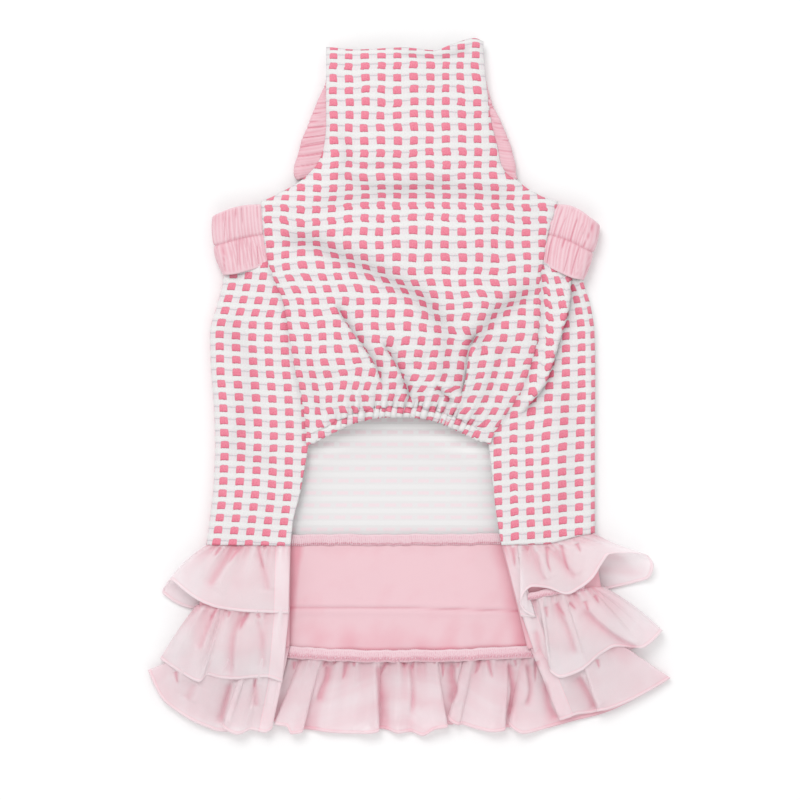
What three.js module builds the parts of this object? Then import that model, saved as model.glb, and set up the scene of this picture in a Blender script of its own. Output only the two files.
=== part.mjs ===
import * as THREE from 'three';

// A small dog's dress, lying belly side up: a knitted check bodice that wraps round from the back,
// a chest panel over it, ruched bands at the legs and neck, and a skirt with three chiffon ruffles.
// Millimetres. X runs across the chest, Y from the hem toward the neck, Z up from the surface.

// Driving sizes
const bodiceWidth = 191;        // between the two side folds
const bodiceLength = 171;       // waist seam to shoulder seam
const neckWidth = 78;           // flat width of the neck opening
const neckHeight = 79;          // shoulder seam to the neck edge
const gussetReach = 12.5;       // how far a neck gusset shows past the chest panel
const cuffHeight = 30;          // leg band, from its seam to its free edge
const archRise = 64;            // belly hem above the waist seam, at the middle
const casingHeight = 5;         // elastic casing along the belly hem
const loft = 15;                // chest panel above the surface, where it stands highest
const foldHeight = 7.5;         // thickness of the dress at its side folds
const cuffLoft = 11;            // thickness of a leg band at its fold
const skirtLength = 53;         // underskirt, waist seam to its lower edge
const middleSeam = 30;          // seam of the middle ruffle, below the waist seam
const skirtFlare = 9;           // how much further out the underskirt's lower corners lie
const topDrop = 34;             // depth of the three ruffles
const middleDrop = 38;          //   (top, middle, lowest)
const bottomDrop = 42;
const topFlare = 23;            // how far the corners of each ruffle stand out at its hem
const middleFlare = 26;
const bottomFlare = 33;
const armRuffle = 2.6;          // height of the waves on the front flaps
const hemFlute = 6;             // height of the flutes of the lowest ruffle at the back
const seamStrip = 5;            // width of the overlocked allowances inside

// Cloth and clearances
const cloth = 1.2;              // knitted check cloth and jersey
const frill = 1;                // chiffon
const band = 2.4;               // leg band: two layers round an elastic
const gussetCloth = 1.4;        // ruched jersey of the neck gussets
const strip = 1.2;              // overlocked allowance
const seamGap = 0.6;            // between pieces sewn edge to edge
const armGap = 0.95;            // between a leg band and the cloth below it
const lapGap = 0.45;            // between layers that lie over each other
const tuck = 3;                 // how far a band is sewn in under its neighbour

// Shares of the sizes above
const neckShift = -0.027;       // middle of the neck opening, of its width
const backNeckDip = 0.03;       // how much lower the back's neck edge lies, of the neck height
const outerShare = 0.25;        // the underside between a fold and the panel edge, of its width
const shoulderLift = 1.4;       // rise of the back at the shoulder seams, of the cloth
const casingThick = 1.5;        // casing, of the cloth
const casingGather = 0.3;       // extra at each gather
const casingRidge = 0.35;       // extra along the elastic
const cuffGather = 0.16;        // waves of a leg band, of its thickness
const cuffPinch = 0.72;         // its thickness between the gathers
const cuffTop = 0.03;           // how far its free edge lies below the shoulder, of its height
const sewnShare = 0.2;          // the part of a band's run that lies inside the edge
const gussetSpan = { from: 0.15, to: 0.93 };  // of the neck height
const gussetPinch = 0.8;        // a gusset's thickness between its gathers
const skirtFront = { left: 0.05, right: 1.45 };  // move of the underskirt's front edges, of its flare
const flapFlutes = { top: 3, middle: 3.5, bottom: 4 };  // waves of each ruffle along one flap
const backFlutes = { top: 1, middle: 1, bottom: 16 };   // and under the back
const pressedWave = 1.2;        // height of the lowest ruffle's waves where the flaps lie over them

// At its hem each ruffle's corners stand out by a share of its flare, and its front edges move by a
// share of its drop
const spread = {
  top: { left: 1, right: 1.28, frontLeft: 0.02, frontRight: 0.25 },
  middle: { left: 0.73, right: 1, frontLeft: 0.09, frontRight: 0.34 },
  bottom: { left: 0.636, right: 0.909, frontLeft: 0.23, frontRight: 0.45 },
};

const half = bodiceWidth / 2;
const waistShare = 0.45;
const waistY = -bodiceLength * waistShare;
const shoulderY = waistY + bodiceLength;
const armholeY = shoulderY - cuffHeight;
const foldTop = foldHeight - cloth / 2;

const mix = THREE.MathUtils.lerp;
const ease = (from, to, x) => THREE.MathUtils.smoothstep(x, from, to);

/** Rows of a table as objects with the named columns. */
function table(names, ...rows) {
  return rows.map((row) => Object.fromEntries(names.map((name, k) => [name, row[k]])));
}

/** One column of a table as a smooth function of another, without overshoot between its rows. */
function column(rows, at, name) {
  const xs = rows.map((row) => row[at]);
  const ys = rows.map((row) => row[name]);
  const last = xs.length - 1;
  const rise = (k) => (ys[k + 1] - ys[k]) / (xs[k + 1] - xs[k]);
  const slopes = xs.map((_, k) => {
    if (k === 0) return rise(0);
    if (k === last) return rise(last - 1);
    const before = rise(k - 1);
    const after = rise(k);
    return before * after <= 0 ? 0 : (2 * before * after) / (before + after);
  });
  return (x) => {
    const clamped = THREE.MathUtils.clamp(x, xs[0], xs[last]);
    let k = 0;
    while (k < last - 1 && clamped > xs[k + 1]) k += 1;
    const span = xs[k + 1] - xs[k];
    const f = (clamped - xs[k]) / span;
    const g = 1 - f;
    return ys[k] * g * g * (1 + 2 * f) + ys[k + 1] * f * f * (1 + 2 * g)
      + slopes[k] * span * f * g * g - slopes[k + 1] * span * g * f * f;
  };
}

// The bodice from the waist seam (up = 0) to the shoulder seam (up = 1), as shares of its half width
const bodice = table(['up', 'foldLeft', 'seamLeft', 'seamRight', 'foldRight'],
  [0.00, -1.057, -0.620, 0.484, 0.968],
  [0.07, -1.039, -0.606, 0.462, 0.968],
  [0.17, -1.019, -0.563, 0.440, 0.968],
  [0.29, -1.010, -0.535, 0.424, 0.968],
  [0.38, -1.014, -0.546, 0.503, 0.969],
  [0.45, -1.022, -0.566, 0.585, 0.970],
  [0.50, -1.030, -0.590, 0.620, 0.970],
  [0.62, -1.037, -0.628, 0.674, 0.966],
  [0.70, -1.000, -0.651, 0.686, 0.945],
  [0.78, -0.966, -0.706, 0.686, 0.905],
  [0.83, -0.960, -0.735, 0.700, 0.900],
  [0.90, -0.960, -0.756, 0.720, 0.900],
  [1.00, -0.960, -0.770, 0.775, 0.900]);

// The neck from the shoulder seam (up = 0) to its edge: how far each side has come in from the
// shoulder point to the neck edge, and how far each gusset shows, as a share of its reach
const neck = table(['up', 'inLeft', 'inRight', 'gussetLeft', 'gussetRight'],
  [0.00, 0.000, 0.050, 0.00, 0.00],
  [0.08, 0.380, 0.380, 0.00, 0.00],
  [0.13, 0.590, 0.520, 0.10, 0.05],
  [0.18, 0.730, 0.680, 0.58, 0.34],
  [0.25, 0.870, 0.767, 0.90, 0.57],
  [0.36, 0.966, 0.815, 0.95, 0.53],
  [0.50, 1.000, 0.890, 0.70, 0.40],
  [0.63, 1.000, 0.930, 0.37, 0.13],
  [0.78, 1.000, 0.968, 0.00, 0.00],
  [0.95, 1.000, 1.000, -0.08, -0.08]);

// Edges that run across: u goes from the left edge (0) to the right edge (1)
const neckEdge = table(['u', 'height'],
  [0.00, 0.984], [0.20, 0.962], [0.50, 0.972], [0.69, 0.956], [0.80, 0.994], [0.95, 1.037], [1.00, 1.018]);
const archEdge = table(['u', 'height'],
  [0.00, 0.775], [0.11, 0.852], [0.18, 0.906], [0.29, 0.972], [0.42, 1.000], [0.52, 1.000],
  [0.60, 0.988], [0.68, 0.960], [0.75, 0.920], [0.82, 0.884], [0.91, 0.828], [1.00, 0.794]);

// How high the chest panel lies, as shares of the loft, at its edges and along its middle
const lie = table(['up', 'edge', 'crown'],
  [0.28, 0.50, 0.78], [0.45, 0.58, 0.94], [0.65, 0.62, 1.00], [0.82, 0.60, 1.00], [0.96, 0.58, 0.94]);
const neckLie = table(['up', 'edge', 'crown'],
  [0.00, 0.56, 0.93], [0.055, 0.30, 0.90], [0.12, 0.41, 0.86], [0.20, 0.43, 0.82], [0.50, 0.43, 0.78],
  [1.00, 0.43, 0.74]);

// Main creases of the chest panel and wings. Places are shares of the half width and of the bodice
// length above the waist, width and rise are shares of the loft.
const creases = table(['fromX', 'fromUp', 'toX', 'toUp', 'width', 'rise'],
  [-0.66, 0.89, -0.33, 0.82, 0.42, -0.10],
  [-0.33, 0.82, 0.03, 0.73, 0.46, -0.13],
  [-0.40, 0.71, -0.14, 0.45, 0.34, -0.16],
  [-0.15, 0.61, -0.01, 0.42, 0.30, -0.15],
  [0.02, 0.72, 0.04, 0.43, 0.36, 0.08],
  [0.64, 0.79, 0.38, 0.63, 0.40, -0.14],
  [0.38, 0.63, 0.27, 0.43, 0.36, -0.17],
  [-0.30, 0.58, -0.26, 0.42, 0.36, 0.08],
  [0.16, 0.56, 0.14, 0.42, 0.36, 0.08]);

// Lines round the skirt. round goes from the left front edge over the left flap (0 to 1), round the
// left fold (1 to 2), under the back (2 to 3), round the right fold and along the right flap.
// Seams: distance below the waist. waist and bottom are shares of the skirt length, middle is a
// share of the middle seam's distance.
const seams = table(['round', 'waist', 'middle', 'bottom'],
  [0.0, 0.005, 1.007, 0.960],
  [1.0, 0.000, 1.000, 1.010],
  [2.0, 0.000, 1.000, 1.010],
  [2.5, 0.000, 1.016, 1.015],
  [2.8, -0.010, 0.972, 0.980],
  [3.0, -0.070, 0.795, 0.900],
  [3.5, -0.115, 0.698, 0.850],
  [4.0, -0.100, 0.698, 0.850],
  [4.5, -0.010, 0.760, 0.900],
  [5.0, 0.000, 0.901, 0.980]);

// Hems: distance below the level of each ruffle's seam, in shares of its drop
const topHem = table(['round', 'drop'],
  [0.00, 0.985], [0.50, 0.940], [0.70, 0.820], [0.88, 0.620], [1.00, 0.540], [1.50, 0.640],
  [2.00, 0.780], [2.12, 0.940], [2.50, 0.970], [2.90, 0.760], [3.00, 0.560], [3.50, 0.410],
  [4.00, 0.330], [4.30, 0.456], [4.48, 0.660], [4.62, 0.735], [4.78, 0.620], [4.90, 0.640], [5.00, 0.990]);
const middleHem = table(['round', 'drop'],
  [0.00, 0.987], [0.16, 0.934], [0.40, 0.960], [0.60, 0.915], [0.72, 0.974], [0.92, 0.830], [1.00, 0.760],
  [1.50, 0.710], [2.00, 0.763], [2.12, 0.960], [2.50, 0.974], [2.88, 0.860], [3.00, 0.500], [3.50, 0.342],
  [4.00, 0.370], [4.15, 0.560], [4.45, 0.590], [4.72, 0.830], [4.88, 0.950], [5.00, 1.000]);
const bottomHem = table(['round', 'drop'],
  [0.00, 0.920], [0.18, 0.935], [0.32, 1.000], [0.50, 0.930], [0.66, 0.843], [0.82, 0.714], [1.00, 0.470],
  [1.50, 0.240], [2.00, 0.470], [2.10, 0.850], [2.20, 0.965], [2.80, 0.965], [2.92, 0.820], [3.00, 0.430],
  [3.50, 0.320], [4.00, 0.390], [4.20, 0.520], [4.42, 0.664], [4.65, 0.762], [4.90, 0.840], [5.00, 0.869]);

/** The outline of the bodice and neck at a height Y: both panel edges and both side folds. */
const bodiceColumn = Object.fromEntries(
  ['foldLeft', 'seamLeft', 'seamRight', 'foldRight'].map((name) => [name, column(bodice, 'up', name)]));
const neckColumn = Object.fromEntries(
  ['inLeft', 'inRight', 'gussetLeft', 'gussetRight'].map((name) => [name, column(neck, 'up', name)]));
const upBodice = (y) => (y - waistY) / bodiceLength;
const upNeck = (y) => (y - shoulderY) / neckHeight;

function edgeX(side, y) {
  const name = side < 0 ? 'seamLeft' : 'seamRight';
  const shoulder = bodiceColumn[name](Math.min(upBodice(y), 1)) * half;
  if (y <= shoulderY) return shoulder;
  const inward = neckColumn[side < 0 ? 'inLeft' : 'inRight'](upNeck(y));
  return mix(shoulder, (neckShift + side / 2) * neckWidth, inward);
}

function foldX(side, y) {
  return bodiceColumn[side < 0 ? 'foldLeft' : 'foldRight'](upBodice(y)) * half;
}

const lieEdge = column(lie, 'up', 'edge');
const lieCrown = column(lie, 'up', 'crown');
const neckLieEdge = column(neckLie, 'up', 'edge');
const neckLieCrown = column(neckLie, 'up', 'crown');
const edgeLift = (y) => loft * (y < shoulderY ? lieEdge(upBodice(y)) : neckLieEdge(upNeck(y)));
const crownLift = (y) => loft * (y < shoulderY ? lieCrown(upBodice(y)) : neckLieCrown(upNeck(y)));

/** Height that the creases add at a place: a rounded valley or ridge along each line. */
function creaseLift(x, y) {
  const place = new THREE.Vector2(x / half, upBodice(y));
  const stretch = bodiceLength / half;
  return creases.reduce((sum, crease) => {
    const from = new THREE.Vector2(crease.fromX, crease.fromUp);
    const along = new THREE.Vector2(crease.toX - crease.fromX, crease.toUp - crease.fromUp);
    const offset = place.clone().sub(from);
    along.y *= stretch;
    offset.y *= stretch;
    const share = THREE.MathUtils.clamp(offset.dot(along) / along.lengthSq(), 0, 1);
    const away = offset.sub(along.multiplyScalar(share)).length() * half;
    return sum + crease.rise * loft * Math.exp(-((away / (crease.width * loft)) ** 2));
  }, 0);
}

/** Middle surface of the chest panel, u across from its left edge to its right edge. */
function panelZ(u, y) {
  const arch = 1 - Math.abs(2 * u - 1) ** 2.4;
  const x = mix(edgeX(-1, y), edgeX(1, y), u);
  const inside = ease(0, 0.12, u) * ease(0, 0.12, 1 - u);
  return mix(edgeLift(y), crownLift(y), arch) + inside * creaseLift(x, y);
}

const neckEdgeShare = column(neckEdge, 'u', 'height');
const archShare = column(archEdge, 'u', 'height');
const neckEdgeY = (u) => shoulderY + neckHeight * neckEdgeShare(u);
const archY = (u) => waistY + archRise * archShare(u);

/**
 * A sheet of cloth as one closed solid. point(i, j) is its middle surface on a grid of cells, thick
 * its thickness there, and kept says which cells are cloth.
 */
function sheet({ across, along, point, thick, kept = () => true }) {
  const middle = [];
  const normals = [];
  for (let j = 0; j <= along; j += 1) {
    for (let i = 0; i <= across; i += 1) {
      middle.push(new THREE.Vector3(...point(i, j)));
      normals.push(new THREE.Vector3());
    }
  }
  const index = (i, j) => j * (across + 1) + i;
  const inside = (i, j) => i >= 0 && j >= 0 && i < across && j < along && kept(i, j);
  const cells = [];
  for (let j = 0; j < along; j += 1) {
    for (let i = 0; i < across; i += 1) {
      if (inside(i, j)) cells.push([i, j]);
    }
  }
  const corners = (i, j) => [index(i, j), index(i + 1, j), index(i + 1, j + 1), index(i, j + 1)];
  for (const [i, j] of cells) {
    const [a, b, c, d] = corners(i, j);
    const first = middle[c].clone().sub(middle[a]);
    const second = middle[d].clone().sub(middle[b]);
    const normal = first.cross(second);
    for (const corner of [a, b, c, d]) normals[corner].add(normal);
  }
  const count = middle.length;
  const positions = new Float32Array(count * 6);
  middle.forEach((place, k) => {
    const thickness = thick(k % (across + 1), Math.floor(k / (across + 1)));
    const offset = normals[k].normalize().multiplyScalar(thickness / 2);
    place.clone().add(offset).toArray(positions, k * 3);
    place.clone().sub(offset).toArray(positions, (count + k) * 3);
  });
  const faces = [];
  for (const [i, j] of cells) {
    const [a, b, c, d] = corners(i, j);
    faces.push(a, b, c, a, c, d);
    faces.push(count + a, count + c, count + b, count + a, count + d, count + c);
    const sides = [[a, b, i, j - 1], [b, c, i + 1, j], [c, d, i, j + 1], [d, a, i - 1, j]];
    for (const [p, q, besideI, besideJ] of sides) {
      if (!inside(besideI, besideJ)) faces.push(q, p, count + p, q, count + p, count + q);
    }
  }
  const used = [...new Set(faces)];
  const renumber = new Map(used.map((old, fresh) => [old, fresh]));
  const geometry = new THREE.BufferGeometry();
  const places = new Float32Array(used.flatMap((old) => [...positions.slice(old * 3, old * 3 + 3)]));
  geometry.setAttribute('position', new THREE.BufferAttribute(places, 3));
  geometry.setIndex(faces.map((old) => renumber.get(old)));
  return volume(geometry) > 0 ? geometry : turnedOut(geometry);
}

/** Signed volume of a closed geometry. */
function volume(geometry) {
  const place = geometry.getAttribute('position');
  const corner = [0, 1, 2].map(() => new THREE.Vector3());
  let sum = 0;
  for (let k = 0; k < geometry.index.count; k += 3) {
    corner.forEach((vector, n) => vector.fromBufferAttribute(place, geometry.index.getX(k + n)));
    sum += corner[0].dot(corner[1].clone().cross(corner[2])) / 6;
  }
  return sum;
}

/** The same geometry with every face turned over. */
function turnedOut(geometry) {
  const order = [...geometry.index.array];
  for (let k = 0; k < order.length; k += 3) [order[k], order[k + 1]] = [order[k + 1], order[k]];
  geometry.setIndex(order);
  return geometry;
}

/** Shares 0 to 1 in equal steps. */
const steps = (count) => Array.from({ length: count + 1 }, (_, k) => k / count);

/**
 * A point (x, z) on a C-shaped section: along the left flap, round the left fold, under, round the
 * right fold and along the right flap.
 */
function wrap(round, c) {
  const zone = Math.min(Math.floor(round), 4);
  const f = round - zone;
  const radius = (c.top - c.bottom) / 2;
  const middle = (c.top + c.bottom) / 2;
  if (zone === 0) return [mix(c.flapLeft, c.foldLeft + radius, f), mix(c.flapTop, c.top, ease(0, 1, f))];
  if (zone === 4) {
    return [mix(c.foldRight - radius, c.flapRight, f), mix(c.top, c.flapTop, ease(0, 1, f))];
  }
  if (zone === 2) return [mix(c.foldLeft + radius, c.foldRight - radius, f), c.bottom];
  const turn = Math.PI * (zone === 1 ? f : 1 - f);
  const centre = zone === 1 ? c.foldLeft + radius : c.foldRight - radius;
  const outward = zone === 1 ? -1 : 1;
  return [centre + outward * radius * Math.sin(turn), middle + radius * Math.cos(turn)];
}

/** Values of round for a C-shaped sheet with the given number of cells in each zone. */
function rounds(flap, fold, under) {
  const zones = [flap, fold, under, fold, flap];
  return zones.flatMap((cells, zone) => steps(cells).slice(zone ? 1 : 0).map((f) => zone + f));
}

const seamDown = Object.fromEntries(
  ['waist', 'middle', 'bottom'].map((name) => [name, column(seams, 'round', name)]));
const waistLine = (round) => waistY - skirtLength * seamDown.waist(round);
const bottomLine = (round) => waistY - skirtLength * seamDown.bottom(round);
const middleLine = (round) => waistY - middleSeam * seamDown.middle(round);

// Back panel: the whole back, with the wings that wrap round the sides onto the belly. Each column
// is a line up the cloth; out is how far it lies from the panel edge (0) toward the side fold (1).
const backColumns = [
  ...steps(6).map((f) => ({ zone: 'flap', side: -1, f, out: f })),
  ...steps(4).slice(1).map((f) => ({ zone: 'fold', side: -1, f, out: 1 })),
  ...steps(2).slice(1).map((f) => ({ zone: 'outer', side: -1, f, out: 1 - f })),
  ...steps(10).slice(1, -1).map((u) => ({ zone: 'centre', u, out: 0 })),
  ...steps(2).slice(1).reverse().map((f) => ({ zone: 'outer', side: 1, f, out: 1 - f })),
  ...steps(4).slice(1).reverse().map((f) => ({ zone: 'fold', side: 1, f, out: 1 })),
  ...steps(6).reverse().map((f) => ({ zone: 'flap', side: 1, f, out: f }))];
const rowCount = { below: 5, beside: 11, shoulder: 4 };
const wingRows = rowCount.below + rowCount.beside;
const neckRows = [0.055, 0.12, 0.2, 0.32, 0.48, 0.65, 0.82, 1];
const armholeDip = { left: 0.22, right: 0.3 };
/** The seam of a leg band: it drops toward the side fold, in shares of the band's height. */
const armholeLine = (side, out) => armholeY
  - cuffHeight * out * (side < 0 ? armholeDip.left : armholeDip.right);

/** The back rises a little to meet the chest panel along the shoulder seams. */
function backLift(u, y) {
  const nearEdge = Math.exp(-(((1 - Math.abs(2 * u - 1)) / 0.12) ** 2));
  return shoulderLift * cloth * nearEdge * Math.exp(-(((upNeck(y) - 0.055) / 0.05) ** 2));
}

/** How the wings round off from the side fold to their inner edge at a height Y. */
function bodySection(y) {
  const raised = ease(-0.2, 0.25, (y - archY(0)) / archRise);
  return {
    flapLeft: edgeX(-1, y) - seamGap / 2,
    foldLeft: foldX(-1, y),
    foldRight: foldX(1, y),
    flapRight: edgeX(1, y) + seamGap / 2,
    bottom: cloth / 2,
    top: foldTop,
    flapTop: mix(foldTop, edgeLift(y), raised),
  };
}

function backPoint({ zone, side, f, u, out }, row) {
  const round = { flap: side < 0 ? f : 5 - f, fold: side < 0 ? 1 + f : 4 - f }[zone];
  const across = u ?? (side < 0 ? 0 : 1);
  const beside = side < 0 ? outerShare * f : 1 - outerShare * f;
  const under = 2 + (zone === 'centre' ? mix(outerShare, 1 - outerShare, u) : beside);
  const low = waistLine(round ?? under) + seamGap / 2;
  const archEnd = mix(archY(0), archY(1), across);
  const armhole = armholeLine(side ?? -1, out) - armGap;
  const neckTop = neckEdgeY(across) - neckHeight * backNeckDip;
  const past = row - wingRows;
  let y = mix(low, archEnd, row / rowCount.below);
  const aside = Math.min((row - rowCount.below) / rowCount.beside, 1);
  if (aside > 0) y = mix(archEnd, armhole, aside);
  if (past > 0) y = mix(armhole, shoulderY, Math.min(past / rowCount.shoulder, 1));
  if (past > rowCount.shoulder) y = mix(shoulderY, neckTop, neckRows[past - rowCount.shoulder - 1]);
  const section = bodySection(y);
  if (round !== undefined) {
    const [x, z] = wrap(round, section);
    return [x, y, z + (zone === 'flap' ? ease(0, 0.4, f) * creaseLift(x, y) : 0)];
  }
  const radius = (section.top - section.bottom) / 2;
  if (zone === 'outer') {
    const start = side < 0 ? section.foldLeft + radius : section.foldRight - radius;
    return [mix(start, edgeX(side, y), f), y, section.bottom + (f === 1 ? backLift(across, y) : 0)];
  }
  return [mix(edgeX(-1, y), edgeX(1, y), u), y, section.bottom + backLift(u, y)];
}

function backPanel() {
  return sheet({
    across: backColumns.length - 1,
    along: wingRows + rowCount.shoulder + neckRows.length,
    point: (i, row) => backPoint(backColumns[i], row),
    thick: () => cloth,
    kept: (i, row) => row < wingRows || (backColumns[i].out === 0 && backColumns[i + 1].out === 0),
  });
}

// Chest panel: from the neck edge down to the casing, with its edges over the bands. Beside the wings
// its rows are those of the wings, so that the two side seams fit along their whole length.
function chestPanel() {
  const cells = 20;
  const rowY = (u, row) => {
    const armhole = armholeY - armGap;
    const lower = archY(u) + casingHeight + seamGap;
    const past = row - rowCount.beside;
    if (row === 0) return lower;
    if (past <= 0) return Math.max(mix(archY(u), armhole, row / rowCount.beside), lower);
    if (past <= rowCount.shoulder) return mix(armhole, shoulderY, past / rowCount.shoulder);
    return mix(shoulderY, neckEdgeY(u), neckRows[past - rowCount.shoulder - 1]);
  };
  return sheet({
    across: cells,
    along: rowCount.beside + rowCount.shoulder + neckRows.length,
    point: (i, row) => {
      const u = i / cells;
      const y = rowY(u, row);
      const x = mix(edgeX(-1, y) + seamGap / 2, edgeX(1, y) - seamGap / 2, u);
      return [x, y, panelZ(u, y)];
    },
    thick: () => cloth,
  });
}

// Belly casing: the turned hem with its elastic, gathered along the arch
function bellyCasing() {
  const gathers = 36;
  return sheet({
    across: gathers,
    along: 2,
    point: (i, row) => {
      const u = i / gathers;
      const y = archY(u) + casingHeight * row / 2;
      const x = mix(edgeX(-1, y) + seamGap / 2, edgeX(1, y) - seamGap / 2, u);
      return [x, y, panelZ(u, y)];
    },
    thick: (i, row) => cloth * (casingThick + casingGather * (i % 2) + (row === 1 ? casingRidge : 0)),
  });
}

/**
 * A point (x, z) on a band that is sewn in between the chest panel's edge and the edge of the back:
 * out along its top, round its fold and back in below. way runs 0 to 3, one zone each, and the first
 * sewnShare of each flat zone lies inside the edge.
 */
function hook(side, way, c) {
  const zone = Math.min(Math.floor(way), 2);
  const f = zone === 2 ? 3 - way : way;
  const radius = (c.topOut - c.bottomOut) / 2;
  const centre = c.fold - side * radius;
  if (zone === 1) {
    const turn = Math.PI * (way - 1);
    const middle = (c.topOut + c.bottomOut) / 2;
    return [centre + side * radius * Math.sin(turn), middle + radius * Math.cos(turn)];
  }
  const leaves = side * Math.min(side * c.edge + cloth / 2, side * centre - cloth / 4);
  const [inside, outside] = zone === 0 ? [c.topIn, c.topOut] : [c.bottomIn, c.bottomOut];
  if (f <= sewnShare) return [mix(leaves - side * tuck, leaves, f / sewnShare), inside];
  const past = (f - sewnShare) / (1 - sewnShare);
  return [mix(leaves, centre, past), mix(inside, outside, ease(0, 1, past))];
}

/** Values of way for a band with the given number of cells past the edge, above, round and below. */
function ways(above, fold, below) {
  const flat = (cells) => [0, ...steps(cells).map((f) => mix(sewnShare, 1, f))];
  return [...flat(above), ...steps(fold).slice(1).map((f) => 1 + f),
    ...flat(below).reverse().slice(1).map((f) => 3 - f)];
}

// Leg bands: height up each band, and how far out its fold lies in shares of the half width
const cuffFold = table(['up', 'left', 'right'],
  [0.0, 0.964, 0.905], [0.5, 1.012, 0.955], [1.0, 1.020, 0.990]);
const cuffTopDip = { left: 0.18, right: 0.3 };

function legCuff(side) {
  const name = side < 0 ? 'left' : 'right';
  const foldShare = column(cuffFold, 'up', name);
  const across = ways(11, 4, 5);
  const sewn = cloth / 2 + lapGap + band / 2;
  const ups = steps(4);
  return sheet({
    across: across.length - 1,
    along: ups.length - 1,
    point: (i, row) => {
      const way = across[i];
      const up = ups[row];
      const out = THREE.MathUtils.clamp((Math.min(way, 3 - way) - sewnShare) / (1 - sewnShare), 0, 1);
      const top = shoulderY - cuffHeight * (cuffTop + out * cuffTopDip[name]);
      const y = mix(armholeLine(side, out), top, up);
      const gather = way < 1 ? cuffGather * band * (i % 2 ? 1 : -1) * ease(0, 0.2, way) : 0;
      const [x, z] = hook(side, way, {
        edge: edgeX(side, y),
        fold: side * foldShare(up) * half,
        topIn: edgeLift(y) - sewn,
        topOut: cuffLoft - band / 2,
        bottomOut: band / 2,
        bottomIn: cloth / 2 + sewn,
      });
      return [x, y, z + gather];
    },
    thick: (i, row) => band * (row % 2 ? 1 : cuffPinch),
  });
}

// Neck gussets: ruched strips that join the chest panel to the back on each side of the neck
function neckGusset(side) {
  const shows = neckColumn[side < 0 ? 'gussetLeft' : 'gussetRight'];
  const low = shoulderY + neckHeight * gussetSpan.from;
  const high = shoulderY + neckHeight * gussetSpan.to;
  const across = ways(2, 4, 2);
  const sewn = cloth / 2 + lapGap + gussetCloth / 2;
  const gathers = 14;
  return sheet({
    across: across.length - 1,
    along: gathers,
    point: (i, row) => {
      const y = mix(low, high, row / gathers);
      const reach = gussetReach * shows(upNeck(y));
      const open = ease(tuck, 3 * tuck, reach);
      const topIn = edgeLift(y) - sewn;
      const bottomIn = cloth / 2 + sewn;
      const [x, z] = hook(side, across[i], {
        edge: edgeX(side, y),
        fold: edgeX(side, y) + side * reach,
        topIn,
        topOut: mix(topIn, edgeLift(y) - gussetCloth / 2, open),
        bottomOut: mix(bottomIn, gussetCloth / 2, open),
        bottomIn,
      });
      return [x, y, z];
    },
    thick: (i, row) => gussetCloth * (row % 2 ? 1 : gussetPinch),
  });
}

// Skirt. Under the back the layers lie on each other: the top ruffle on the surface, the middle one
// over it, then the underskirt with the lowest ruffle. On the flaps the order is turned round.
const layer = cloth / 2 + lapGap + frill / 2;
const frillLayer = frill + lapGap;
const skirtRise = 1.6;

/** The underskirt's C-shaped section, down from the waist seam (0) to its lower edge (1). */
function skirtSection(down) {
  return {
    flapLeft: edgeX(-1, waistY) - skirtFront.left * skirtFlare * down,
    foldLeft: foldX(-1, waistY) + layer - skirtFlare * down,
    foldRight: foldX(1, waistY) - layer + skirtFlare * down,
    flapRight: edgeX(1, waistY) + skirtFront.right * skirtFlare * down,
    bottom: frill / 2 + layer + frillLayer * ease(0, 0.5, down),
    top: foldTop - layer + skirtRise * ease(0, 0.5, down),
    flapTop: foldTop - layer + skirtRise * ease(0, 0.5, down),
  };
}

function skirtBase() {
  const across = rounds(6, 4, 8);
  return sheet({
    across: across.length - 1,
    along: 4,
    point: (i, row) => {
      const down = row / 4;
      const [x, z] = wrap(across[i], skirtSection(down));
      return [x, mix(waistLine(across[i]) - seamGap / 2, bottomLine(across[i]) + seamGap / 2, down), z];
    },
    thick: () => cloth,
  });
}

/** Height of a ruffle's waves at a place between two crests: rounded tops, flatter valleys. */
function flute(place, crests) {
  const phase = 2 * Math.PI * (crests * place + 0.16 * Math.sin(2 * Math.PI * place * 2.3 + 0.6));
  return (0.5 - 0.5 * Math.cos(phase)) ** 1.4;
}

/**
 * A ruffle as a C-shaped strip from its seam to its hem. from is its section at the seam, level the
 * height Y its hem is measured from, and under and over the heights of its lower and upper layers.
 */
function ruffle({ cells, rows, seam, hem, drop, flare, wide, level, from, under, over, waves, growth }) {
  const across = rounds(...cells);
  const hemShare = column(hem, 'round', 'drop');
  const to = {
    flapLeft: from.flapLeft - wide.frontLeft * drop,
    foldLeft: from.foldLeft - wide.left * flare,
    foldRight: from.foldRight + wide.right * flare,
    flapRight: from.flapRight + wide.frontRight * drop,
  };
  return sheet({
    across: across.length - 1,
    along: rows.length - 1,
    point: (i, row) => {
      const round = across[i];
      const down = rows[row];
      const section = Object.fromEntries(
        Object.keys(to).map((name) => [name, mix(from[name], to[name], down)]));
      const top = over(down);
      const [x, z] = wrap(round, { ...section, bottom: under(down), top, flapTop: top });
      const y = mix(seam(round), level - drop * hemShare(round), down);
      const zone = Math.min(Math.floor(round), 4);
      const f = round - zone;
      const faded = (reach) => ease(0, reach, f) * ease(0, reach, 1 - f);
      const front = armRuffle * growth.front(down) * flute(f, waves.front) * faded(0.12);
      const open = ease(0.19, 0.27, f) * ease(0.17, 0.24, 1 - f);
      const crest = mix(pressedWave, hemFlute, open);
      const back = crest * growth.back(down) * flute(f, waves.back) * faded(0.05);
      const wave = { 0: front, 2: back, 4: front }[zone] ?? 0;
      return [x, y, z + wave];
    },
    thick: () => frill,
  });
}

/** The underskirt's section, one layer further out, where a ruffle is sewn onto it. */
function seamSection(down) {
  const skirt = skirtSection(down);
  return {
    ...skirt,
    foldLeft: skirt.foldLeft - layer,
    foldRight: skirt.foldRight + layer,
    top: skirt.top + layer,
  };
}

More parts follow.
